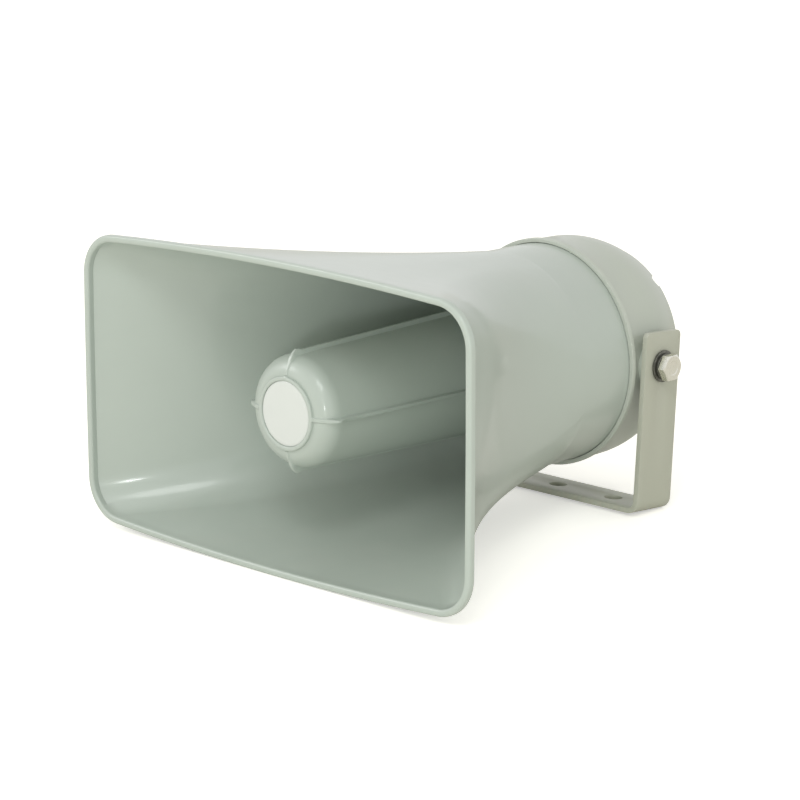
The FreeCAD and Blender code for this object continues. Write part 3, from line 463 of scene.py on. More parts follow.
def dust_film_group():
    """A thin film of dust on the faces that look up."""
    group, given, result = shader_group(
        "Dust Film",
        [("Color", "NodeSocketColor", (0.5, 0.5, 0.5, 1)),
         ("Dust Color", "NodeSocketColor", (0.62, 0.61, 0.56, 1)),
         ("Amount", "NodeSocketFloat", 0.15), ("Roughness", "NodeSocketFloat", 0.4)],
        [("Color", "NodeSocketColor"), ("Roughness", "NodeSocketFloat")])
    coordinates = group.nodes.new("ShaderNodeTexCoord")
    split = group.nodes.new("ShaderNodeSeparateXYZ")
    group.links.new(coordinates.outputs["Normal"], split.inputs[0])
    upward = add_range(group, split.outputs["Z"], 0.2, 0.95, 0.0, 1.0)
    drift = add_range(group, add_noise(group, coordinates.outputs["Object"], 60.0, 5.0),
                      0.4, 0.7, 0.2, 1.0)
    mask = add_math(group, "MULTIPLY", add_math(group, "MULTIPLY", upward, drift),
                    given.outputs["Amount"], True)
    group.links.new(add_mix(group, mask, given.outputs["Color"], given.outputs["Dust Color"]),
                    result.inputs["Color"])
    rough = add_math(group, "ADD", given.outputs["Roughness"],
                     add_math(group, "MULTIPLY", mask, 0.4), True)
    group.links.new(rough, result.inputs["Roughness"])
    return group


def orange_peel_group():
    """Sprayed powder coat: soft lumps under a finer speckle."""
    group, given, result = shader_group(
        "Orange Peel",
        [("Color", "NodeSocketColor", (0.5, 0.5, 0.5, 1)),
         ("Lump Scale", "NodeSocketFloat", 900.0), ("Speckle", "NodeSocketFloat", 0.05)],
        [("Color", "NodeSocketColor"), ("Height", "NodeSocketFloat")])
    where = object_vector(group)
    lumps = add_noise(group, where, given.outputs["Lump Scale"], 2.0)
    fine = add_noise(group, where, add_math(group, "MULTIPLY", given.outputs["Lump Scale"], 3.1),
                     1.0)
    height = add_math(group, "ADD", add_math(group, "MULTIPLY", lumps, 0.8),
                      add_math(group, "MULTIPLY", fine, 0.2))
    group.links.new(height, result.inputs["Height"])
    shade = group.nodes.new("ShaderNodeVectorMath")
    shade.operation = "SCALE"
    group.links.new(given.outputs["Color"], shade.inputs[0])
    lift = add_math(group, "MULTIPLY", add_math(group, "SUBTRACT", fine, 0.5),
                    given.outputs["Speckle"])
    group.links.new(add_math(group, "ADD", lift, 1.0), shade.inputs["Scale"])
    group.links.new(shade.outputs[0], result.inputs["Color"])
    return group


def plated_metal_group():
    """Plated or turned metal: cloudy plating and fine scratches."""
    group, given, result = shader_group(
        "Plated Metal",
        [("Color", "NodeSocketColor", (0.7, 0.7, 0.7, 1)),
         ("Tarnish Color", "NodeSocketColor", (0.5, 0.5, 0.45, 1)),
         ("Tarnish", "NodeSocketFloat", 0.3), ("Roughness", "NodeSocketFloat", 0.3),
         ("Scratch Scale", "NodeSocketFloat", 1500.0)],
        [("Color", "NodeSocketColor"), ("Roughness", "NodeSocketFloat"),
         ("Height", "NodeSocketFloat")])
    where = object_vector(group)
    cloud = add_range(group, add_noise(group, where, 380.0, 4.0), 0.4, 0.68, 0.0, 1.0)
    mask = add_math(group, "MULTIPLY", cloud, given.outputs["Tarnish"], True)
    group.links.new(add_mix(group, mask, given.outputs["Color"],
                            given.outputs["Tarnish Color"]), result.inputs["Color"])
    stretch = group.nodes.new("ShaderNodeMapping")
    stretch.inputs["Scale"].default_value = (1.0, 1.0, 0.06)
    group.links.new(where, stretch.inputs["Vector"])
    scratches = add_noise(group, stretch.outputs[0], given.outputs["Scratch Scale"], 2.0)
    rough = add_math(group, "ADD", given.outputs["Roughness"],
                     add_math(group, "MULTIPLY", add_math(group, "SUBTRACT", scratches, 0.5),
                              0.16))
    group.links.new(add_math(group, "ADD", rough, add_math(group, "MULTIPLY", mask, 0.15), True),
                    result.inputs["Roughness"])
    group.links.new(scratches, result.inputs["Height"])
    return group


GROUPS = {
    "Moulded Skin": moulded_skin_group,
    "Edge Wear And Highlight": edge_wear_highlight_group,
    "Dust Film": dust_film_group,
    "Orange Peel": orange_peel_group,
    "Plated Metal": plated_metal_group,
}


# Materials

class Finish:
    """A material under construction: its Principled shader and the groups that feed it."""

    def __init__(self, name):
        self.material = bpy.data.materials.new(name)
        self.material.use_nodes = True
        self.nodes = self.material.node_tree.nodes
        self.links = self.material.node_tree.links
        self.shader = self.nodes["Principled BSDF"]

    def group(self, name, **values):
        """Place a shader group and set its inputs; underscores stand for spaces."""
        node = self.nodes.new("ShaderNodeGroup")
        node.node_tree = bpy.data.node_groups.get(name) or GROUPS[name]()
        for label, value in values.items():
            socket = node.inputs[label.replace("_", " ")]
            if isinstance(value, bpy.types.NodeSocket):
                self.links.new(value, socket)
            else:
                socket.default_value = value
        return node.outputs

    def feed(self, label, output):
        self.links.new(output, self.shader.inputs[label])

    def bump(self, height, strength, distance):
        node = self.nodes.new("ShaderNodeBump")
        node.inputs["Strength"].default_value = strength
        node.inputs["Distance"].default_value = distance
        self.links.new(height, node.inputs["Height"])
        self.links.new(node.outputs["Normal"], self.shader.inputs["Normal"])

    def set(self, **values):
        for label, value in values.items():
            self.shader.inputs[label.replace("_", " ")].default_value = value


def opaque(shade):
    return (shade[0], shade[1], shade[2], 1.0)


def lighter(shade, share):
    return tuple(part + (1 - part) * share for part in shade)


def moulded_plastic(name, shade, roughness, coat, dust, cloud=0.05, wear_and_highlight=0.5):
    """A moulded plastic with lighter edges, partly wear and partly a painted highlight, and a film of dust."""
    finish = Finish(name)
    skin = finish.group("Moulded Skin", Color=opaque(shade), Cloud=cloud, Roughness=roughness)
    worn_and_highlit = finish.group("Edge Wear And Highlight", Color=skin["Color"], Amount=wear_and_highlight,
                          Edge_Color=opaque(lighter(shade, 0.3)))
    dusty = finish.group("Dust Film", Color=worn_and_highlit["Color"], Amount=dust,
                         Roughness=skin["Roughness"])
    finish.feed("Base Color", dusty["Color"])
    finish.feed("Roughness", dusty["Roughness"])
    finish.bump(skin["Height"], 0.12, 0.00006)
    finish.set(Coat_Weight=coat, Coat_Roughness=0.12)
    return finish.material


def powder_coat(name, shade):
    finish = Finish(name)
    peel = finish.group("Orange Peel", Color=opaque(shade))
    # Lighter edges: partly chipped wear, partly a painted highlight on the edges.
    worn_and_highlit = finish.group("Edge Wear And Highlight", Color=peel["Color"], Amount=0.5,
                          Edge_Color=opaque(lighter(shade, 0.35)))
    dusty = finish.group("Dust Film", Color=worn_and_highlit["Color"], Amount=0.12, Roughness=0.42)
    finish.feed("Base Color", dusty["Color"])
    finish.feed("Roughness", dusty["Roughness"])
    finish.bump(peel["Height"], 0.25, 0.00012)
    return finish.material


def metal(name, shade, tarnish_shade, roughness, tarnish=0.35):
    finish = Finish(name)
    plate = finish.group("Plated Metal", Color=opaque(shade), Tarnish=tarnish,
                         Tarnish_Color=opaque(tarnish_shade), Roughness=roughness)
    # Lighter edges: partly wear, partly a painted highlight on the edges.
    worn_and_highlit = finish.group("Edge Wear And Highlight", Color=plate["Color"], Amount=0.25,
                          Edge_Color=opaque(lighter(shade, 0.4)))
    finish.feed("Base Color", worn_and_highlit["Color"])
    finish.feed("Roughness", plate["Roughness"])
    finish.bump(plate["Height"], 0.15, 0.00003)
    finish.set(Metallic=1.0)
    return finish.material


def enamel(name, shade):
    """Smooth white enamel with a faint ripple."""
    finish = Finish(name)
    skin = finish.group("Moulded Skin", Color=opaque(shade), Cloud=0.03, Cloud_Scale=70.0,
                        Grain_Scale=420.0, Roughness=0.2, Polish_Spread=0.05)
    finish.feed("Base Color", skin["Color"])
    finish.feed("Roughness", skin["Roughness"])
    finish.bump(skin["Height"], 0.05, 0.00008)
    finish.set(Coat_Weight=0.6, Coat_Roughness=0.05)
    return finish.material


def rubber(name, shade):
    finish = Finish(name)
    skin = finish.group("Moulded Skin", Color=opaque(shade), Cloud=0.5, Cloud_Scale=240.0,
                        Grain_Scale=3200.0, Roughness=0.62, Polish_Spread=0.2)
    dusty = finish.group("Dust Film", Color=skin["Color"], Amount=0.25,
                         Dust_Color=(0.12, 0.12, 0.11, 1), Roughness=skin["Roughness"])
    finish.feed("Base Color", dusty["Color"])
    finish.feed("Roughness", dusty["Roughness"])
    finish.bump(skin["Height"], 0.3, 0.00008)
    return finish.material


def named_material(slot):
    """Find a slot's finish, or make it the first time. The frame keeps the plain slot names."""
    name = slot + "_finish"
    made = bpy.data.materials.get(name)
    if made:
        return made
    shades = bpy.context.scene.horn_colours
    black = tuple(shades.black)
    makers = {
        "horn_plastic": lambda: moulded_plastic(name, shades.horn, 0.38, 0.5, 0.10, 0.05, 0.25),
        "cover_plastic": lambda: moulded_plastic(name, shades.cover, 0.42, 0.35, 0.12),
        "tube_plastic": lambda: moulded_plastic(name, shades.horn, 0.5, 0.0, 0.15),
        "driver_plastic": lambda: moulded_plastic(name, (0.02, 0.02, 0.02), 0.4, 0.0, 0.05),
        "gland_plastic": lambda: moulded_plastic(name, black, 0.42, 0.0, 0.06, 0.3, 0.12),
        "bracket_paint": lambda: powder_coat(name, shades.paint),
        "badge": lambda: enamel(name, shades.badge),
        "bolt_steel": lambda: metal(name, shades.zinc, (0.60, 0.59, 0.48), 0.26, 0.08),
        "screw_steel": lambda: metal(name, shades.zinc, (0.5, 0.5, 0.46), 0.3),
        "driver_steel": lambda: metal(name, (0.55, 0.55, 0.53), (0.4, 0.4, 0.36), 0.36),
        "washer_dark": lambda: metal(name, (0.17, 0.17, 0.15), (0.07, 0.07, 0.06), 0.42, 0.6),
        "brass": lambda: metal(name, (0.72, 0.5, 0.2), (0.42, 0.28, 0.1), 0.3),
        "copper": lambda: metal(name, (0.65, 0.26, 0.12), (0.4, 0.14, 0.06), 0.34),
        "rubber_black": lambda: rubber(name, black),
        "ferrite": lambda: rubber(name, (0.03, 0.03, 0.032)),
        "film": lambda: enamel(name, (0.5, 0.27, 0.06)),
    }
    return makers[slot]()


# Outlines

def arc_outline(half_width, half_height, corner, top, side, per_arc):
    """Points round eight tangent arcs, from the right side counter-clockwise."""
    run = half_width - corner * (math.cos(side) - math.sin(top))
    rise = half_height - corner * (math.cos(top) - math.sin(side))
    scale = math.sin(top) * math.sin(side) - (1 - math.cos(side)) * (1 - math.cos(top))
    top_radius = (run * math.sin(side) - rise * (1 - math.cos(side))) / scale
    side_radius = (rise * math.sin(top) - run * (1 - math.cos(top))) / scale
    side_middle = half_width - side_radius
    top_middle = half_height - top_radius
    corner_across = side_middle + (side_radius - corner) * math.cos(side)
    corner_up = (side_radius - corner) * math.sin(side)
    arcs = []
    for half in (0, 1):
        turn = half * math.pi
        sign = 1 - 2 * half
        arcs.append((sign * side_middle, 0, side_radius, turn - side, turn + side))
        arcs.append((sign * corner_across, sign * corner_up, corner,
                     turn + side, turn + QUARTER - top))
        arcs.append((0, sign * top_middle, top_radius, turn + QUARTER - top,
                     turn + QUARTER + top))
        arcs.append((-sign * corner_across, sign * corner_up, corner,
                     turn + QUARTER + top, turn + math.pi - side))
    points = []
    for across, up, radius, start, end in arcs:
        for step in range(per_arc):
            bearing = start + (end - start) * step / per_arc
            points.append((across + radius * math.cos(bearing),
                           up + radius * math.sin(bearing)))
    return points


ROUND_ANGLE = math.radians(22.5)
STRAIGHT_ANGLE = math.radians(0.6)
POINTS_PER_ARC = 20
FLARE_STATIONS = 52


def round_outline(radius):
    return arc_outline(radius, radius, radius, ROUND_ANGLE, ROUND_ANGLE, POINTS_PER_ARC)


def flare_outline(sizes, share, inset):
    """The flare's outline at a share of its depth, set in from its outside."""
    closing = 1 - share
    lip_step = sizes.lip_width - sizes.wall
    neck = sizes.neck_radius - inset
    half_width = BELL_HIGH.x - lip_step - inset
    half_height = (BELL_HIGH.z - BELL_LOW.z) / 2 - lip_step - inset
    corner = sizes.corner - lip_step - inset
    bow = 2 * math.atan(sizes.edge_bow / (BELL_HIGH.x - sizes.corner))
    rounding = 1 - closing ** sizes.corner_power
    return arc_outline(neck + (half_width - neck) * closing ** sizes.width_power,
                       neck + (half_height - neck) * closing ** sizes.height_power,
                       corner + (neck - corner) * rounding,
                       bow + (ROUND_ANGLE - bow) * rounding,
                       STRAIGHT_ANGLE + (ROUND_ANGLE - STRAIGHT_ANGLE) * rounding,
                       POINTS_PER_ARC)


def lip_rings(sizes):
    """Rings over the rim, from the hollow side round its crowned front to its back."""
    lip_step = sizes.lip_width - sizes.wall
    half = sizes.lip_width / 2
    rings = []
    for step in range(13):
        turn = math.pi * step / 12
        along = sizes.lip_crown * (1 - math.sin(turn) ** 0.8)
        inset = half + half * math.copysign(abs(math.cos(turn)) ** 0.75, math.cos(turn))
        rings.append((along, flare_outline(sizes, 0, inset - lip_step)))
    back_round = lip_step * 0.5
    rings.append((sizes.lip_depth - back_round, flare_outline(sizes, 0, -lip_step)))
    for step in (1, 2, 3):
        turn = QUARTER * step / 3
        rings.append((sizes.lip_depth - back_round * (1 - math.sin(turn)),
                      flare_outline(sizes, 0, back_round * (1 - math.cos(turn)) - lip_step)))
    return rings


def bell_rings(sizes):
    """All the bell's rings, from the tube hole forwards, over the rim and back."""
    bore = sizes.neck_radius - sizes.wall
    fillet = sizes.bulkhead_round
    rings = [(sizes.bulkhead, round_outline(sizes.tube_hole)),
             (sizes.bulkhead, round_outline((sizes.tube_hole + bore - fillet) / 2))]
    for step in range(7):
        turn = QUARTER * step / 6
        rings.append((sizes.bulkhead - fillet * (1 - math.cos(turn)),
                      round_outline(bore - fillet * (1 - math.sin(turn)))))
    run = sizes.flare_end - sizes.lip_depth
    shares = [step / FLARE_STATIONS for step in range(FLARE_STATIONS + 1)]
    for share in reversed(shares):
        rings.append((sizes.lip_depth + run * share, flare_outline(sizes, share, sizes.wall)))
    rings += lip_rings(sizes)
    for share in shares:
        rings.append((sizes.lip_depth + run * share, flare_outline(sizes, share, 0)))
    neck_end = BELL_HIGH.y - FRONT
    pocket = sizes.bulkhead + sizes.bulkhead_wall
    seat = TUBE_HIGH.y - FRONT
    for depth, radius in ((neck_end - 0.0008, sizes.neck_radius),
                          (neck_end, sizes.neck_radius - 0.0008), (neck_end, bore),
                          (pocket, bore), (pocket, sizes.driver_ring),
                          (seat, sizes.driver_ring), (seat, sizes.tube_flange),
                          (pocket, sizes.tube_flange), (pocket, sizes.tube_hole)):
        rings.append((depth, round_outline(radius)))
    return rings


class HORN_OT_bell(bpy.types.Operator):
    """Skin the flared bell through rings, from its rectangular rim to its round neck"""
    bl_idname = "horn.bell"
    bl_label = "Bell"

    def execute(self, context):
        rings = bell_rings(context.scene.horn_bell_sizes)
        shape = skinned(rings, POINTS_PER_ARC * 8)
        add_piece("flared_bell", shape, on_axis(), "horn", ["horn_bell"],
                  named_material("horn_plastic"))
        return {"FINISHED"}


# Reflex horn

RIB_COUNT = 4
RIB_ZONE = math.radians(6.0)
RIB_STEPS = 28
BETWEEN_STEPS = 26
SHOULDER_STEPS = 24
RIB_LOW = 0.0008
RIB_FOOT = 0.42
RIB_TIP = 0.80


def nose_skin(sizes):
    """Outside points (depth, radius, rib height), from the badge ring to the open end."""
    ring_front = NOSE_LOW.y - FRONT
    rise = sizes.shoulder_depth - sizes.face_depth
    run = sizes.shoulder_radius - sizes.ring_radius
    points = [(ring_front, sizes.ring_radius - 0.0004, 0.0),
              (ring_front + 0.0004, sizes.ring_radius, 0.0003),
              (sizes.face_depth, sizes.ring_radius, 0.0008)]
    for step in range(1, SHOULDER_STEPS + 1):
        turn = QUARTER * step / SHOULDER_STEPS
        share = step / SHOULDER_STEPS
        if share <= RIB_FOOT:
            height = RIB_LOW
        elif share <= RIB_TIP:
            climb = (share - RIB_FOOT) / (RIB_TIP - RIB_FOOT)
            height = RIB_LOW + (sizes.rib_height + sizes.rib_point - RIB_LOW) * climb
        else:
            height = sizes.rib_height + sizes.rib_point * (1 - share) / (1 - RIB_TIP)
        points.append((sizes.face_depth + rise * (1 - math.cos(turn)),
                       sizes.ring_radius + run * math.sin(turn), height))
    end = NOSE_HIGH.y - FRONT
    for step in range(1, 13):
        share = step / 12
        points.append((sizes.shoulder_depth + (end - sizes.shoulder_depth) * share,
                       sizes.shoulder_radius + (sizes.end_radius - sizes.shoulder_radius) * share,
                       sizes.rib_height))
    return points


def nose_hollow(sizes):
    """Inside points (depth, radius, rib height), from the open end to the badge's seat."""
    end = NOSE_HIGH.y - FRONT
    wall = sizes.wall
    rise = sizes.shoulder_depth - sizes.face_depth
    run = sizes.shoulder_radius - sizes.ring_radius
    points = [(end, sizes.end_radius - wall, 0.0)]
    for step in range(8, -1, -1):
        turn = QUARTER * step / 8
        points.append((sizes.face_depth + wall + rise * (1 - math.cos(turn)),
                       sizes.ring_radius - wall + run * math.sin(turn), 0.0))
    points += [(sizes.face_depth + wall, sizes.post_radius, 0.0),
               (sizes.post_end, sizes.post_radius, 0.0),
               (sizes.post_end, sizes.screw_radius, 0.0),
               (sizes.screw_seat, sizes.screw_radius, 0.0),
               (sizes.screw_seat, sizes.screw_head, 0.0),
               (sizes.seat_depth, sizes.screw_head, 0.0),
               (sizes.seat_depth, sizes.ring_inside, 0.0),
               (NOSE_LOW.y - FRONT + 0.0003, sizes.ring_inside, 0.0),
               (NOSE_LOW.y - FRONT, sizes.ring_inside + 0.0003, 0.0)]
    return points


class HORN_OT_reflex_horn(bpy.types.Operator):
    """Spin the hollow reflex horn in uneven steps and raise its pointed ribs"""
    bl_idname = "horn.reflex_horn"
    bl_label = "Reflex horn"

    def execute(self, context):
        sizes = context.scene.horn_nose_sizes
        outline = nose_skin(sizes) + nose_hollow(sizes)
        shape = new_shape([(depth, radius) for depth, radius, height in outline], True)
        layer = shape.verts.layers.float_vector.new("rib")
        shape.verts.ensure_lookup_table()
        for index, (depth, radius, height) in enumerate(outline):
            before, after = outline[index - 1], outline[(index + 1) % len(outline)]
            normal = Vector((before[1] - after[1], after[0] - before[0])).normalized()
            shape.verts[index][layer] = (normal.x * height, normal.y * height, 0)
        geometry = shape.verts[:] + shape.edges[:]
        between = FULL_TURN / RIB_COUNT - 2 * RIB_ZONE
        bmesh.ops.rotate(shape, verts=shape.verts[:], cent=(0, 0, 0),
                         matrix=Matrix.Rotation(-RIB_ZONE, 3, "Y"))
        for rib in range(RIB_COUNT):
            for turn, steps in ((2 * RIB_ZONE, RIB_STEPS), (between, BETWEEN_STEPS)):
                made = bmesh.ops.spin(shape, geom=geometry, cent=(0, 0, 0), axis=(0, 1, 0),
                                      dvec=(0, 0, 0), angle=turn, steps=steps, use_merge=False)
                geometry = made["geom_last"]
        bmesh.ops.remove_doubles(shape, verts=shape.verts[:], dist=1e-6)
        for vert in shape.verts:
            forward, outward = vert[layer][0], vert[layer][1]
            if outward == 0 and forward == 0:
                continue
            radius = math.hypot(vert.co.x, vert.co.z)
            bearing = math.atan2(vert.co.z, vert.co.x)
            off = abs((bearing + QUARTER / 2) % QUARTER - QUARTER / 2) * radius
            above = max(0.0, math.hypot(forward, outward) - sizes.rib_height) / sizes.rib_point
            width = sizes.rib_width * (1 - 0.35 * above)
            share = min(1.0, max(0.0, (width * 0.62 - off) / (width * 0.3)))
            share = share * share * (3 - 2 * share)
            scale = (radius + outward * share) / radius
            vert.co = (vert.co.x * scale, vert.co.y + forward * share, vert.co.z * scale)
        bmesh.ops.recalc_face_normals(shape, faces=shape.faces[:])
        add_piece("ribbed_nose", shape, on_axis(), "horn", ["reflex_horn"],
                  named_material("horn_plastic"), 50.0)
        return {"FINISHED"}


class HORN_OT_badge(bpy.types.Operator):
    """Turn the bare white disc that sits in the nose"""
    bl_idname = "horn.badge"
    bl_label = "Nose disc"

    def execute(self, context):
        front, rear = BADGE_LOW.y - FRONT, BADGE_HIGH.y - FRONT
        radius = BADGE_HIGH.x
        points = [(front + 0.0002 * share ** 2, radius * 0.94 * share)
                  for share in (0, 0.25, 0.5, 0.75, 0.9, 1.0)]
        points += [(front + 0.0003, radius * 0.975), (front + 0.0006, radius), (rear, radius),
                   (rear, 0)]
        add_piece("nose_disc", turned(points, 128), on_axis(), "horn", ["nose_badge"],
                  named_material("badge"))
        return {"FINISHED"}


class HORN_OT_throat_tube(bpy.types.Operator):
    """Turn the tapered throat tube and join its front fins and boss"""
    bl_idname = "horn.throat_tube"
    bl_label = "Throat tube"

    def execute(self, context):
        sizes = context.scene.horn_tube_sizes
        nose = context.scene.horn_nose_sizes
        bulkhead = context.scene.horn_bell_sizes.bulkhead
        rear = TUBE_HIGH.y - FRONT
        flange = TUBE_HIGH.x
        front = nose.post_end + 0.007
        seat = rear - sizes.flange_thickness
        tube = turned([(front, sizes.front_radius - sizes.wall), (front, sizes.front_radius),
                       (bulkhead, sizes.rear_radius), (seat, sizes.rear_radius), (seat, flange),
                       (rear, flange), (rear, sizes.throat_radius),
                       (bulkhead, sizes.rear_radius - sizes.wall)])
        fin_front = front + 0.001
        fins = []
        for turn in (0, QUARTER):
            fin = bmesh.new()
            bmesh.ops.create_cube(fin, size=1.0)
            bmesh.ops.scale(fin, verts=fin.verts[:],
                            vec=((sizes.front_radius - sizes.wall / 2) * 2, sizes.fin_length,
                                 sizes.fin_thickness))
            bmesh.ops.translate(fin, verts=fin.verts[:],
                                vec=(0, fin_front + sizes.fin_length / 2, 0))
            bmesh.ops.rotate(fin, verts=fin.verts[:], cent=(0, 0, 0),
                             matrix=Matrix.Rotation(turn, 3, "Y"))
            fins.append(fin)
        boss = turned([(nose.post_end, 0), (nose.post_end, nose.post_radius),
                       (fin_front + sizes.fin_length, nose.post_radius),
                       (fin_front + sizes.fin_length, 0)], 48, False)
        shape = tube
        for part in fins + [boss]:
            shape = combined(shape, part, "UNION")
        pilot_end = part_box("nose_screw")[1].y - FRONT + 0.0005
        pilot = turned([(front - 0.02, 0), (front - 0.02, nose.screw_radius),
                        (pilot_end, nose.screw_radius), (pilot_end, 0)], 32, False)
        shape = combined(shape, pilot, "DIFFERENCE")
        add_piece("throat_pipe", shape, on_axis(), "horn", ["throat_tube"],
                  named_material("tube_plastic"))
        return {"FINISHED"}


# Rear cover

SCREW_COUNT = 4


def crown_points(sizes, inset):
    """Points of the crown from its start to the rear face, set in by a wall."""
    rear = COVER_HIGH.y - FRONT
    run = rear - sizes.crown_start - 0.003
    points = []
    for step in range(11):
        share = step / 10
        fall = 0.0004 + (sizes.crown_fall - 0.0004) * share ** 2
        points.append((sizes.crown_start + run * share - inset * 0.3 * share,
                       sizes.radius - inset - fall))
    edge_radius = sizes.radius - sizes.crown_fall - inset
    flat_radius = edge_radius - sizes.edge_width - 0.0008
    corner_depth = points[-1][0]
    for step in range(1, 9):
        turn = QUARTER * step / 8
        points.append((corner_depth + (rear - inset - corner_depth) * math.sin(turn) ** 1.0,
                       flat_radius + (edge_radius - flat_radius) * math.cos(turn)))
    return points


def around_circle(shapes_at, radius, first_turn=QUARTER / 2):
    """Make one shape for each screw place on the circle."""
    shapes = []
    for index in range(SCREW_COUNT):
        turn = first_turn + FULL_TURN * index / SCREW_COUNT
        shape = shapes_at()
        bmesh.ops.translate(shape, verts=shape.verts[:],
                            vec=(radius * math.cos(turn), 0, radius * math.sin(turn)))
        shapes.append(shape)
    return shapes


class HORN_OT_rear_cover(bpy.types.Operator):
    """Turn the rear cover, then join its bosses and pillars and cut its wells"""
    bl_idname = "horn.rear_cover"
    bl_label = "Rear cover"

    def execute(self, context):
        sizes = context.scene.horn_cover_sizes
        front, rear = COVER_LOW.y - FRONT, COVER_HIGH.y - FRONT
        lip_end = front + sizes.lip_length
        inner_crown = crown_points(sizes, sizes.wall)
        points = [(front, sizes.slide_radius), (front, sizes.lip_radius - 0.0007),
                  (front + 0.0002, sizes.lip_radius - 0.0002),
                  (front + 0.0007, sizes.lip_radius), (lip_end - 0.0004, sizes.lip_radius),
                  (lip_end, sizes.lip_radius - 0.0003), (lip_end + 0.0003, sizes.radius + 0.0002),
                  (lip_end + 0.0008, sizes.radius)]
        points += crown_points(sizes, 0)
        points += [(rear, ring) for ring in (0.0475, 0.0465, 0.0455, 0.034, 0.020, 0)]
        points.append((rear - sizes.wall, 0))
        points += reversed(inner_crown)
        points += [(sizes.stop_depth, sizes.radius - sizes.wall - 0.0006),
                   (sizes.stop_depth, sizes.slide_radius)]
        shell = turned(points, 192)
        face = BOSS_FACE
        depth_in = face - sizes.insert_length - sizes.wall
        added, removed = [], []
        for side in ("right", "left"):
            boss = turned([(depth_in, 0), (depth_in, sizes.core_radius),
                           (sizes.slide_radius, sizes.core_radius),
                           (sizes.slide_radius, sizes.boss_radius),
                           (face - 0.0006, sizes.boss_radius),
                           (face - 0.0002, sizes.boss_radius - 0.0002),
                           (face, sizes.boss_radius - 0.0006), (face, 0)], 96, False)
            boss.transform(on_axis().inverted() @ on_pivot(side))
            added.append(boss)
            bore = turned([(face - sizes.insert_length, 0),
                           (face - sizes.insert_length, sizes.insert_radius),
                           (face + 0.001, sizes.insert_radius), (face + 0.001, 0)], 64, False)
            bore.transform(on_axis().inverted() @ on_pivot(side))
            removed.append(bore)
        well_floor = rear - sizes.well_depth
        screw_radius = context.scene.horn_nose_sizes.screw_radius
        pillars = joined(around_circle(lambda: turned(
            [(sizes.pillar_front, 0), (sizes.pillar_front, sizes.pillar_radius),
             (rear, sizes.pillar_radius), (rear, 0)], 48, False), sizes.screw_circle))
        room = turned([(front, 0), (front, sizes.radius - sizes.wall / 2)]
                      + crown_points(sizes, sizes.wall / 2) + [(rear - sizes.wall / 2, 0)],
                      192, False)
        added.append(combined(pillars, room, "INTERSECT"))
        removed += around_circle(lambda: turned(
            [(sizes.pillar_front - 0.001, 0), (sizes.pillar_front - 0.001, screw_radius),
             (well_floor, screw_radius), (well_floor, sizes.well_radius),
             (rear - 0.0005, sizes.well_radius), (rear, sizes.well_radius + 0.0004),
             (rear + 0.001, sizes.well_radius + 0.0014), (rear + 0.001, 0)], 48, False),
            sizes.screw_circle)
        thread = FLANGE_THREAD
        entry = turned([(rear - sizes.wall - 0.002, 0), (rear - sizes.wall - 0.002, thread),
                        (rear + 0.001, thread), (rear + 0.001, 0)], 64, False)
        bmesh.ops.translate(entry, verts=entry.verts[:], vec=(0, 0, GLAND_UP))
        removed.append(entry)
        shape = combined(shell, joined(added), "UNION")
        shape = combined(shape, joined(removed), "DIFFERENCE")
        add_piece("back_cover", shape, on_axis(), "horn", ["rear_cover"],
                  named_material("cover_plastic"), 32.0)
        return {"FINISHED"}


class HORN_OT_cover_screws(bpy.types.Operator):
    """Make the four pan-head screws at the bottom of the cover's wells"""
    bl_idname = "horn.cover_screws"
    bl_label = "Cover screws"

    def execute(self, context):
        sizes = context.scene.horn_cover_sizes
        radius = context.scene.horn_nose_sizes.screw_radius
        tip = SCREWS_LOW.y - FRONT
        top = SCREWS_HIGH.y - FRONT
        seat = COVER_HIGH.y - FRONT - sizes.well_depth
        head = SCREW_HEAD
        points = [(tip, 0), (tip, radius * 0.7), (tip + 0.001, radius), (seat, radius),
                  (seat, head)]
        for step in range(7):
            turn = QUARTER * step / 6
            points.append((seat + 0.0009 + (top - seat - 0.0009) * math.sin(turn),
                           head * math.cos(turn) ** 0.55))
        screws = []
        for place in range(SCREW_COUNT):
            screw = turned(points, 40, False)
            slots = []
            for turn in (0, QUARTER):
                slot = bmesh.new()
                bmesh.ops.create_cube(slot, size=1.0)
                bmesh.ops.scale(slot, verts=slot.verts[:], vec=(head * 1.25, 0.0024, 0.0009))
                bmesh.ops.rotate(slot, verts=slot.verts[:], cent=(0, 0, 0),
                                 matrix=Matrix.Rotation(turn + 0.4 * place, 3, "Y"))
                bmesh.ops.translate(slot, verts=slot.verts[:], vec=(0, top, 0))
                slots.append(slot)
            for slot in slots:
                screw = combined(screw, slot, "DIFFERENCE")
            turn = QUARTER / 2 + FULL_TURN * place / SCREW_COUNT
            bmesh.ops.translate(screw, verts=screw.verts[:],
                                vec=(sizes.screw_circle * math.cos(turn), 0,
                                     sizes.screw_circle * math.sin(turn)))
            screws.append(screw)
        add_piece("cover_screw_set", joined(screws), on_axis(), "horn",
                  ["cover_screws"], named_material("screw_steel"))
        return {"FINISHED"}


# Pivot bolts and washers

BOSS_FACE = COVER_HIGH.x
SCREW_HEAD = (SCREWS_HIGH.x - SCREWS_LOW.x) / 2 - 0.053 * math.cos(QUARTER / 2)
GLAND_UP = (NUT_LOW.z + NUT_HIGH.z) / 2 - AXIS_HEIGHT
FLANGE_THREAD = 0.006


def reach(node, side):
    """How far a pivot piece reaches from the middle: (near end, far end, radius)."""
    low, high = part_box("%s_%s" % (node, side))
    near, far = sorted((abs(low.x), abs(high.x)))
    return near, far, (high.z - low.z) / 2


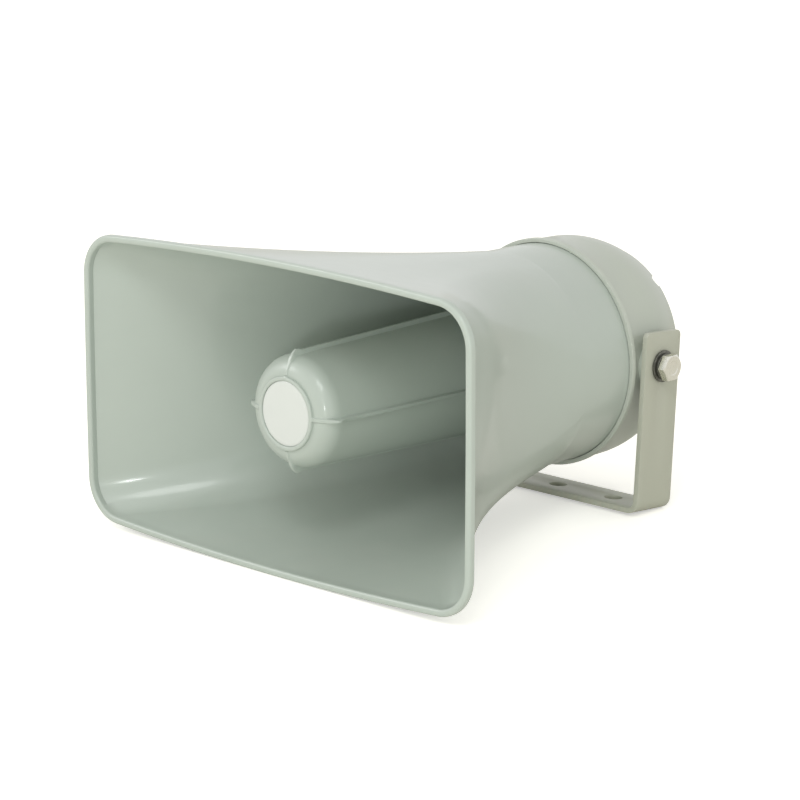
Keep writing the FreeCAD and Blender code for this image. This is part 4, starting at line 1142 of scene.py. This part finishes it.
def bolt_head_rings(near, far, across_flats, count):
    """Rings of a hexagonal head with a turned chamfer on its outer face."""
    flat = across_flats / 2
    crown = flat - 0.0004
    slope = math.tan(math.radians(30))

    def hexagon(shrink=0.0):
        outline = []
        for index in range(count):
            turn = FULL_TURN * index / count
            off = (turn + math.pi / 6) % (math.pi / 3) - math.pi / 6
            outline.append(((flat - shrink) / math.cos(off), turn))
        return outline

    def drop(radius):
        return max(0.0, (radius - crown) * slope)

    sides = hexagon()
    rings = [[(near, radius, turn) for radius, turn in hexagon(0.0004)],
             [(near + 0.0004, radius, turn) for radius, turn in sides],
             [(far - drop(radius) - 0.0003, radius, turn) for radius, turn in sides]]
    rings.append([(far - drop(radius) * 0.92, radius - 0.00012, turn) for radius, turn in sides])
    for radius, back in ((crown, 0.0), (crown * 0.62, 0.0), (crown * 0.56, 0.0003),
                         (crown * 0.25, 0.0004)):
        rings.append([(far - back, radius, FULL_TURN * index / count) for index in range(count)])
    return rings


def bolt_shape(near_shank, near, far, across_flats, shank_radius):
    """A hex-head bolt beside the Y axis: ringed head, washer face and plain shank."""
    count = 96
    shape = bmesh.new()
    station = shape.verts.layers.int.new("station")
    verts = bmesh.ops.create_circle(shape, segments=count, radius=1.0)["verts"]
    for index, vert in enumerate(verts):
        vert[station] = index
    edges = first = shape.edges[:]
    shank = [[(along, radius, FULL_TURN * index / count) for index in range(count)]
             for along, radius in ((near_shank, shank_radius * 0.75),
                                   (near_shank + 0.001, shank_radius), (near, shank_radius))]
    for number, ring in enumerate(shank + bolt_head_rings(near, far, across_flats, count)):
        if number:
            made = bmesh.ops.extrude_edge_only(shape, edges=edges)["geom"]
            verts = [item for item in made if isinstance(item, bmesh.types.BMVert)]
            fresh = set(verts)
            edges = [item for item in made if isinstance(item, bmesh.types.BMEdge)
                     and item.verts[0] in fresh and item.verts[1] in fresh]
        for vert in verts:
            along, radius, turn = ring[vert[station]]
            vert.co = (radius * math.sin(turn), along, radius * math.cos(turn))
    bmesh.ops.edgeloop_fill(shape, edges=first)
    bmesh.ops.edgeloop_fill(shape, edges=edges)
    bmesh.ops.recalc_face_normals(shape, faces=shape.faces[:])
    return shape


class HORN_OT_pivots(bpy.types.Operator):
    """Make the bolt and the washers on each side of the pivot"""
    bl_idname = "horn.pivots"
    bl_label = "Pivot bolts and washers"

    def execute(self, context):
        sizes = context.scene.horn_pivot_sizes
        bore = sizes.bolt_radius + 0.0001
        for side in ("left", "right"):
            place = on_pivot(side)
            for node, slot in (("friction_washer", "rubber_black"),
                               ("flat_washer", "washer_dark")):
                near, far, radius = reach(node, side)
                washer = turned([(near, bore), (near, radius), (far, radius), (far, bore)], 96)
                soften(washer, sizes.washer_round)
                add_piece("%s_%s_ring" % (node, side), washer, place, "horn",
                          ["%s_%s" % (node, side)], named_material(slot))
            self.spring_washer(sizes, side, place, bore)
            shank, far, radius = reach("pivot_bolt", side)
            near = reach("lock_washer", side)[1]
            bolt = bolt_shape(shank, near, far, sizes.across_flats, sizes.bolt_radius)
            add_piece("tilt_bolt_" + side, bolt, place, "horn",
                      ["pivot_bolt_" + side], named_material("bolt_steel"), 24.0)
        return {"FINISHED"}

    def spring_washer(self, sizes, side, place, bore):
        """Spin a square section nearly round, with its two ends left apart."""
        near, far, radius = reach("lock_washer", side)
        shape = new_shape([(near, bore), (near, radius), (far, radius), (far, bore)], True)
        face = bmesh.ops.edgeloop_fill(shape, edges=shape.edges[:])["faces"]
        opening = sizes.split_gap / radius
        bmesh.ops.rotate(shape, verts=shape.verts[:], cent=(0, 0, 0),
                         matrix=Matrix.Rotation(opening / 2 + QUARTER, 3, "Y"))
        bmesh.ops.spin(shape, geom=shape.verts[:] + shape.edges[:] + face, cent=(0, 0, 0),
                       axis=(0, 1, 0), dvec=(0, 0, 0), angle=FULL_TURN - opening, steps=80,
                       use_merge=False)
        bmesh.ops.remove_doubles(shape, verts=shape.verts[:], dist=1e-6)
        bmesh.ops.recalc_face_normals(shape, faces=shape.faces[:])
        soften(shape, sizes.washer_round)
        add_piece("spring_washer_" + side, shape, place, "horn",
                  ["lock_washer_" + side], named_material("washer_dark"))


# Bracket: a flat strip with its holes, then folded

class HORN_OT_bracket(bpy.types.Operator):
    """Cut the flat strip with its holes, round its edges and fold it into a U"""
    bl_idname = "horn.bracket"
    bl_label = "Bracket"

    def execute(self, context):
        sizes = context.scene.horn_strip_sizes
        outside = STRIP_HIGH.x
        drop = (PIVOT.z - sizes.width / 2 * math.sin(sizes.tilt)) / math.cos(sizes.tilt)
        bend = sizes.bend_radius
        bend_start = outside - bend
        bend_length = bend * QUARTER
        arm_start = bend_start + bend_length
        pivot_at = arm_start + drop - bend
        end = pivot_at + sizes.arm_top
        shape = self.flat_strip(sizes, end, pivot_at)
        stations = [bend_start + bend_length * step / 10 for step in range(11)]
        for station in stations + [-place for place in stations]:
            bmesh.ops.bisect_plane(shape, geom=shape.verts[:] + shape.edges[:] + shape.faces[:],
                                   dist=1e-7, plane_co=(station, 0, 0), plane_no=(1, 0, 0))
        limit = math.radians(60)
        rims = [edge for edge in shape.edges
                if len(edge.link_faces) == 2 and edge.calc_face_angle() > limit]
        bmesh.ops.bevel(shape, geom=rims, offset=sizes.edge_round, offset_type="OFFSET",
                        segments=2, profile=0.5, affect="EDGES", clamp_overlap=True, material=-1)
        for vert in shape.verts:
            along, across, height = vert.co
            side = math.copysign(1.0, along)
            run = abs(along)
            if run <= bend_start:
                vert.co = (along, across, height - drop)
            elif run <= arm_start:
                turn = (run - bend_start) / bend
                vert.co = (side * (bend_start + (bend - height) * math.sin(turn)), across,
                           bend - (bend - height) * math.cos(turn) - drop)
            else:
                vert.co = (side * (outside - height), across, run - arm_start + bend - drop)
        bmesh.ops.recalc_face_normals(shape, faces=shape.faces[:])
        place = Matrix.Translation(PIVOT) @ Matrix.Rotation(-sizes.tilt, 4, "X")
        add_piece("folded_bracket", shape, place, "bracket", ["bracket"],
                  named_material("bracket_paint"), 32.0)
        return {"FINISHED"}

    def flat_strip(self, sizes, end, pivot_at):
        """The unfolded strip lying on Z = 0, with rounded ends and its five holes."""
        shape = bmesh.new()
        corners = [shape.verts.new((along * end, across * sizes.width / 2, 0))
                   for along, across in ((-1, -1), (1, -1), (1, 1), (-1, 1))]
        shape.faces.new(corners)
        bmesh.ops.bevel(shape, geom=shape.verts[:], offset=sizes.corner, offset_type="OFFSET",
                        segments=8, profile=0.5, affect="VERTICES", material=-1)
        bmesh.ops.delete(shape, geom=shape.faces[:], context="FACES_ONLY")
        spacing = sizes.hole_spacing
        for along, radius in ((-spacing, sizes.hole_radius), (0, sizes.hole_radius),
                              (spacing, sizes.hole_radius), (-pivot_at, sizes.pivot_hole),
                              (pivot_at, sizes.pivot_hole)):
            bmesh.ops.create_circle(shape, segments=48, radius=radius,
                                    matrix=Matrix.Translation((along, 0, 0)))
        bmesh.ops.triangle_fill(shape, use_beauty=True, use_dissolve=False,
                                edges=shape.edges[:], normal=(0, 0, 1))
        bmesh.ops.solidify(shape, geom=shape.faces[:], thickness=sizes.thickness)
        lowest = min(vert.co.z for vert in shape.verts)
        bmesh.ops.translate(shape, verts=shape.verts[:], vec=(0, 0, -lowest))
        bmesh.ops.recalc_face_normals(shape, faces=shape.faces[:])
        return shape


# Cable gland

class HORN_OT_gland(bpy.types.Operator):
    """Turn the gland's body and seal and make its ribbed nut"""
    bl_idname = "horn.gland"
    bl_label = "Cable gland"

    def execute(self, context):
        place = on_axis(0, 0, GLAND_UP)
        rear = COVER_HIGH.y - FRONT
        nut_seat = NUT_LOW.y - FRONT
        end = NUT_HIGH.y - FRONT
        inner = FLANGE_LOW.y - FRONT
        thread, bore = FLANGE_THREAD, 0.0033
        flange = (FLANGE_HIGH.x - FLANGE_LOW.x) / 2
        body = turned([(inner, bore), (inner, thread), (rear, thread), (rear, flange),
                       (nut_seat, flange), (nut_seat, thread - 0.0004),
                       (end - 0.003, thread - 0.0004), (end - 0.003, bore + 0.0012),
                       (rear - 0.001, bore + 0.0012), (rear - 0.001, bore)], 72)
        soften(body, 0.0003)
        add_piece("gland_flange", body, place, "horn", ["gland_body"],
                  named_material("gland_plastic"))
        seal = turned([(rear - 0.001, bore), (rear - 0.001, bore + 0.0012),
                       (end - 0.0026, bore + 0.0012), (end - 0.0026, bore)], 48)
        add_piece("gland_grommet", seal, place, "horn", ["gland_seal"],
                  named_material("rubber_black"))
        radius = (NUT_HIGH.x - NUT_LOW.x) / 2
        points = [(nut_seat, thread - 0.0004), (nut_seat, radius), (end - 0.0016, radius)]
        for step in range(1, 6):
            turn = QUARTER * step / 5
            points.append((end - 0.0016 * (1 - math.sin(turn)),
                           radius - 0.0022 * (1 - math.cos(turn))))
        points += [(end, bore), (end - 0.0026, bore), (end - 0.0026, thread - 0.0004)]
        nut = turned(points, 144)
        for vert in nut.verts:
            distance = math.hypot(vert.co.x, vert.co.z)
            if distance > radius - 0.0005:
                bearing = math.atan2(vert.co.z, vert.co.x)
                sink = 0.00045 * (0.5 - 0.5 * math.cos(bearing * 18)) ** 2
                scale = (distance - sink) / distance
                vert.co = (vert.co.x * scale, vert.co.y, vert.co.z * scale)
        add_piece("gland_cap", nut, place, "horn", ["gland_nut"],
                  named_material("gland_plastic"))
        return {"FINISHED"}


class HORN_OT_inner_parts(bpy.types.Operator):
    """Give every piece of the frame that is still shown its own finish"""
    bl_idname = "horn.inner_parts"
    bl_label = "Inner parts"

    def execute(self, context):
        slots = {part["node"]: part["material_slot"] for part in frame["record"]["subparts"]}
        for name, node in frame["nodes"].items():
            if node.hide_render:
                continue
            material = named_material(slots[name])
            if not node.material_slots:
                node.data.materials.append(material)
            for slot in node.material_slots:
                slot.material = material
        return {"FINISHED"}


# Stage

COOL_TINT = (0.98, 1.0, 1.0)
WARM_TINT = (1.0, 0.99, 0.95, 1)


def add_softbox(name, place, target, size, power, tint=(1.0, 1.0, 1.0)):
    light = bpy.data.lights.new(name, "AREA")
    light.shape = "DISK"
    light.size = size
    light.energy = power
    light.color = tint
    lamp = bpy.data.objects.new(name, light)
    lamp.location = place
    lamp.visible_camera = False
    lamp.rotation_euler = (Vector(target) - Vector(place)).to_track_quat("-Z", "Y").to_euler()
    bpy.context.scene.collection.objects.link(lamp)
    return lamp


def floor_material():
    """Pale floor that keeps the shadow and reads as white paper to the camera."""
    material = bpy.data.materials.new("pale_floor")
    material.use_nodes = True
    nodes, links = material.node_tree.nodes, material.node_tree.links
    shader = nodes["Principled BSDF"]
    shader.inputs["Base Color"].default_value = (0.93, 0.91, 0.85, 1)
    shader.inputs["Roughness"].default_value = 0.9
    path = nodes.new("ShaderNodeLightPath")
    lift = nodes.new("ShaderNodeMath")
    lift.operation = "MULTIPLY"
    lift.inputs[1].default_value = 0.45
    links.new(path.outputs["Is Camera Ray"], lift.inputs[0])
    shader.inputs["Emission Color"].default_value = (1, 1, 1, 1)
    links.new(lift.outputs[0], shader.inputs["Emission Strength"])
    return material


def set_world(scene):
    """Soft light from all round, and plain white behind the object."""
    world = bpy.data.worlds.new("studio")
    scene.world = world
    world.use_nodes = True
    nodes, links = world.node_tree.nodes, world.node_tree.links
    soft = nodes["Background"]
    soft.inputs["Color"].default_value = WARM_TINT
    soft.inputs["Strength"].default_value = 0.74
    white = nodes.new("ShaderNodeBackground")
    white.inputs["Color"].default_value = (1, 1, 1, 1)
    white.inputs["Strength"].default_value = 1.0
    path = nodes.new("ShaderNodeLightPath")
    seen = nodes.new("ShaderNodeMath")
    seen.operation = "MAXIMUM"
    links.new(path.outputs["Is Camera Ray"], seen.inputs[0])
    either = nodes.new("ShaderNodeMath")
    either.operation = "MAXIMUM"
    links.new(path.outputs["Is Glossy Ray"], either.inputs[0])
    links.new(path.outputs["Is Transmission Ray"], either.inputs[1])
    links.new(either.outputs[0], seen.inputs[1])
    mix = nodes.new("ShaderNodeMixShader")
    links.new(seen.outputs[0], mix.inputs[0])
    links.new(soft.outputs[0], mix.inputs[1])
    links.new(white.outputs[0], mix.inputs[2])
    links.new(mix.outputs[0], nodes["World Output"].inputs["Surface"])


class HORN_OT_stage(bpy.types.Operator):
    """Set the floor, the softboxes, the world and the camera"""
    bl_idname = "horn.stage"
    bl_label = "Stage"

    def execute(self, context):
        scene = context.scene
        sizes = scene.horn_stage_sizes
        plane = bmesh.new()
        bmesh.ops.create_grid(plane, x_segments=1, y_segments=1, size=15.0)
        mesh = bpy.data.meshes.new("floor")
        plane.to_mesh(mesh)
        plane.free()
        mesh.materials.append(floor_material())
        floor = bpy.data.objects.new("floor", mesh)
        scene.collection.objects.link(floor)
        set_world(scene)
        middle = (0, 0, AXIS_HEIGHT)
        add_softbox("left_softbox", (-1.5, -1.4, 1.1), middle, 0.9, 7.0)
        add_softbox("front_softbox", (0.9, -1.3, 1.6), middle, 0.7, 7.2, COOL_TINT)
        beside_camera = (0.892, -1.337, 0.245)
        fill = add_softbox("camera_fill", beside_camera, middle, 0.30, 3.4, COOL_TINT)
        fill.visible_glossy = False
        add_softbox("camera_spot", beside_camera, middle, 0.09, 1.9, COOL_TINT)
        camera = bpy.data.objects.new("camera", bpy.data.cameras.new("camera"))
        camera.data.lens = sizes.lens
        back = Vector((math.sin(sizes.azimuth) * math.cos(sizes.elevation),
                       -math.cos(sizes.azimuth) * math.cos(sizes.elevation),
                       math.sin(sizes.elevation)))
        right = Vector((math.cos(sizes.azimuth), math.sin(sizes.azimuth), 0))
        up = back.cross(right)
        target = (Vector((0, FRONT + sizes.target_depth, AXIS_HEIGHT))
                  + right * sizes.shift_right + up * sizes.shift_up)
        camera.location = target + back * sizes.distance
        camera.rotation_euler = (-back).to_track_quat("-Z", "Y").to_euler()
        scene.collection.objects.link(camera)
        scene.camera = camera
        scene.view_settings.view_transform = "Standard"
        return {"FINISHED"}


OPERATORS = (HORN_OT_stage, HORN_OT_bell, HORN_OT_reflex_horn, HORN_OT_badge,
             HORN_OT_throat_tube, HORN_OT_rear_cover, HORN_OT_cover_screws, HORN_OT_pivots,
             HORN_OT_bracket, HORN_OT_gland, HORN_OT_inner_parts)


class HORN_PT_sidebar(bpy.types.Panel):
    """The horn's operators and sizes"""
    bl_label = "PA horn speaker"
    bl_idname = "HORN_PT_sidebar"
    bl_space_type = "VIEW_3D"
    bl_region_type = "UI"
    bl_category = "Horn"

    def draw(self, context):
        for operator in OPERATORS:
            self.layout.operator(operator.bl_idname)
        for name, group in SETTINGS.items():
            box = self.layout.box()
            settings = getattr(context.scene, name)
            for label in group.__annotations__:
                box.prop(settings, label)


def register():
    for group in SETTINGS.values():
        bpy.utils.register_class(group)
    for name, group in SETTINGS.items():
        setattr(bpy.types.Scene, name, bpy.props.PointerProperty(type=group))
    for item in OPERATORS + (HORN_PT_sidebar,):
        bpy.utils.register_class(item)


def unregister():
    for item in (HORN_PT_sidebar,) + OPERATORS[::-1]:
        bpy.utils.unregister_class(item)
    for name, group in SETTINGS.items():
        delattr(bpy.types.Scene, name)
        bpy.utils.unregister_class(group)


def main():
    register()
    for operator in OPERATORS:
        category, name = operator.bl_idname.split(".")
        getattr(getattr(bpy.ops, category), name)()


if __name__ == "__main__":
    main()
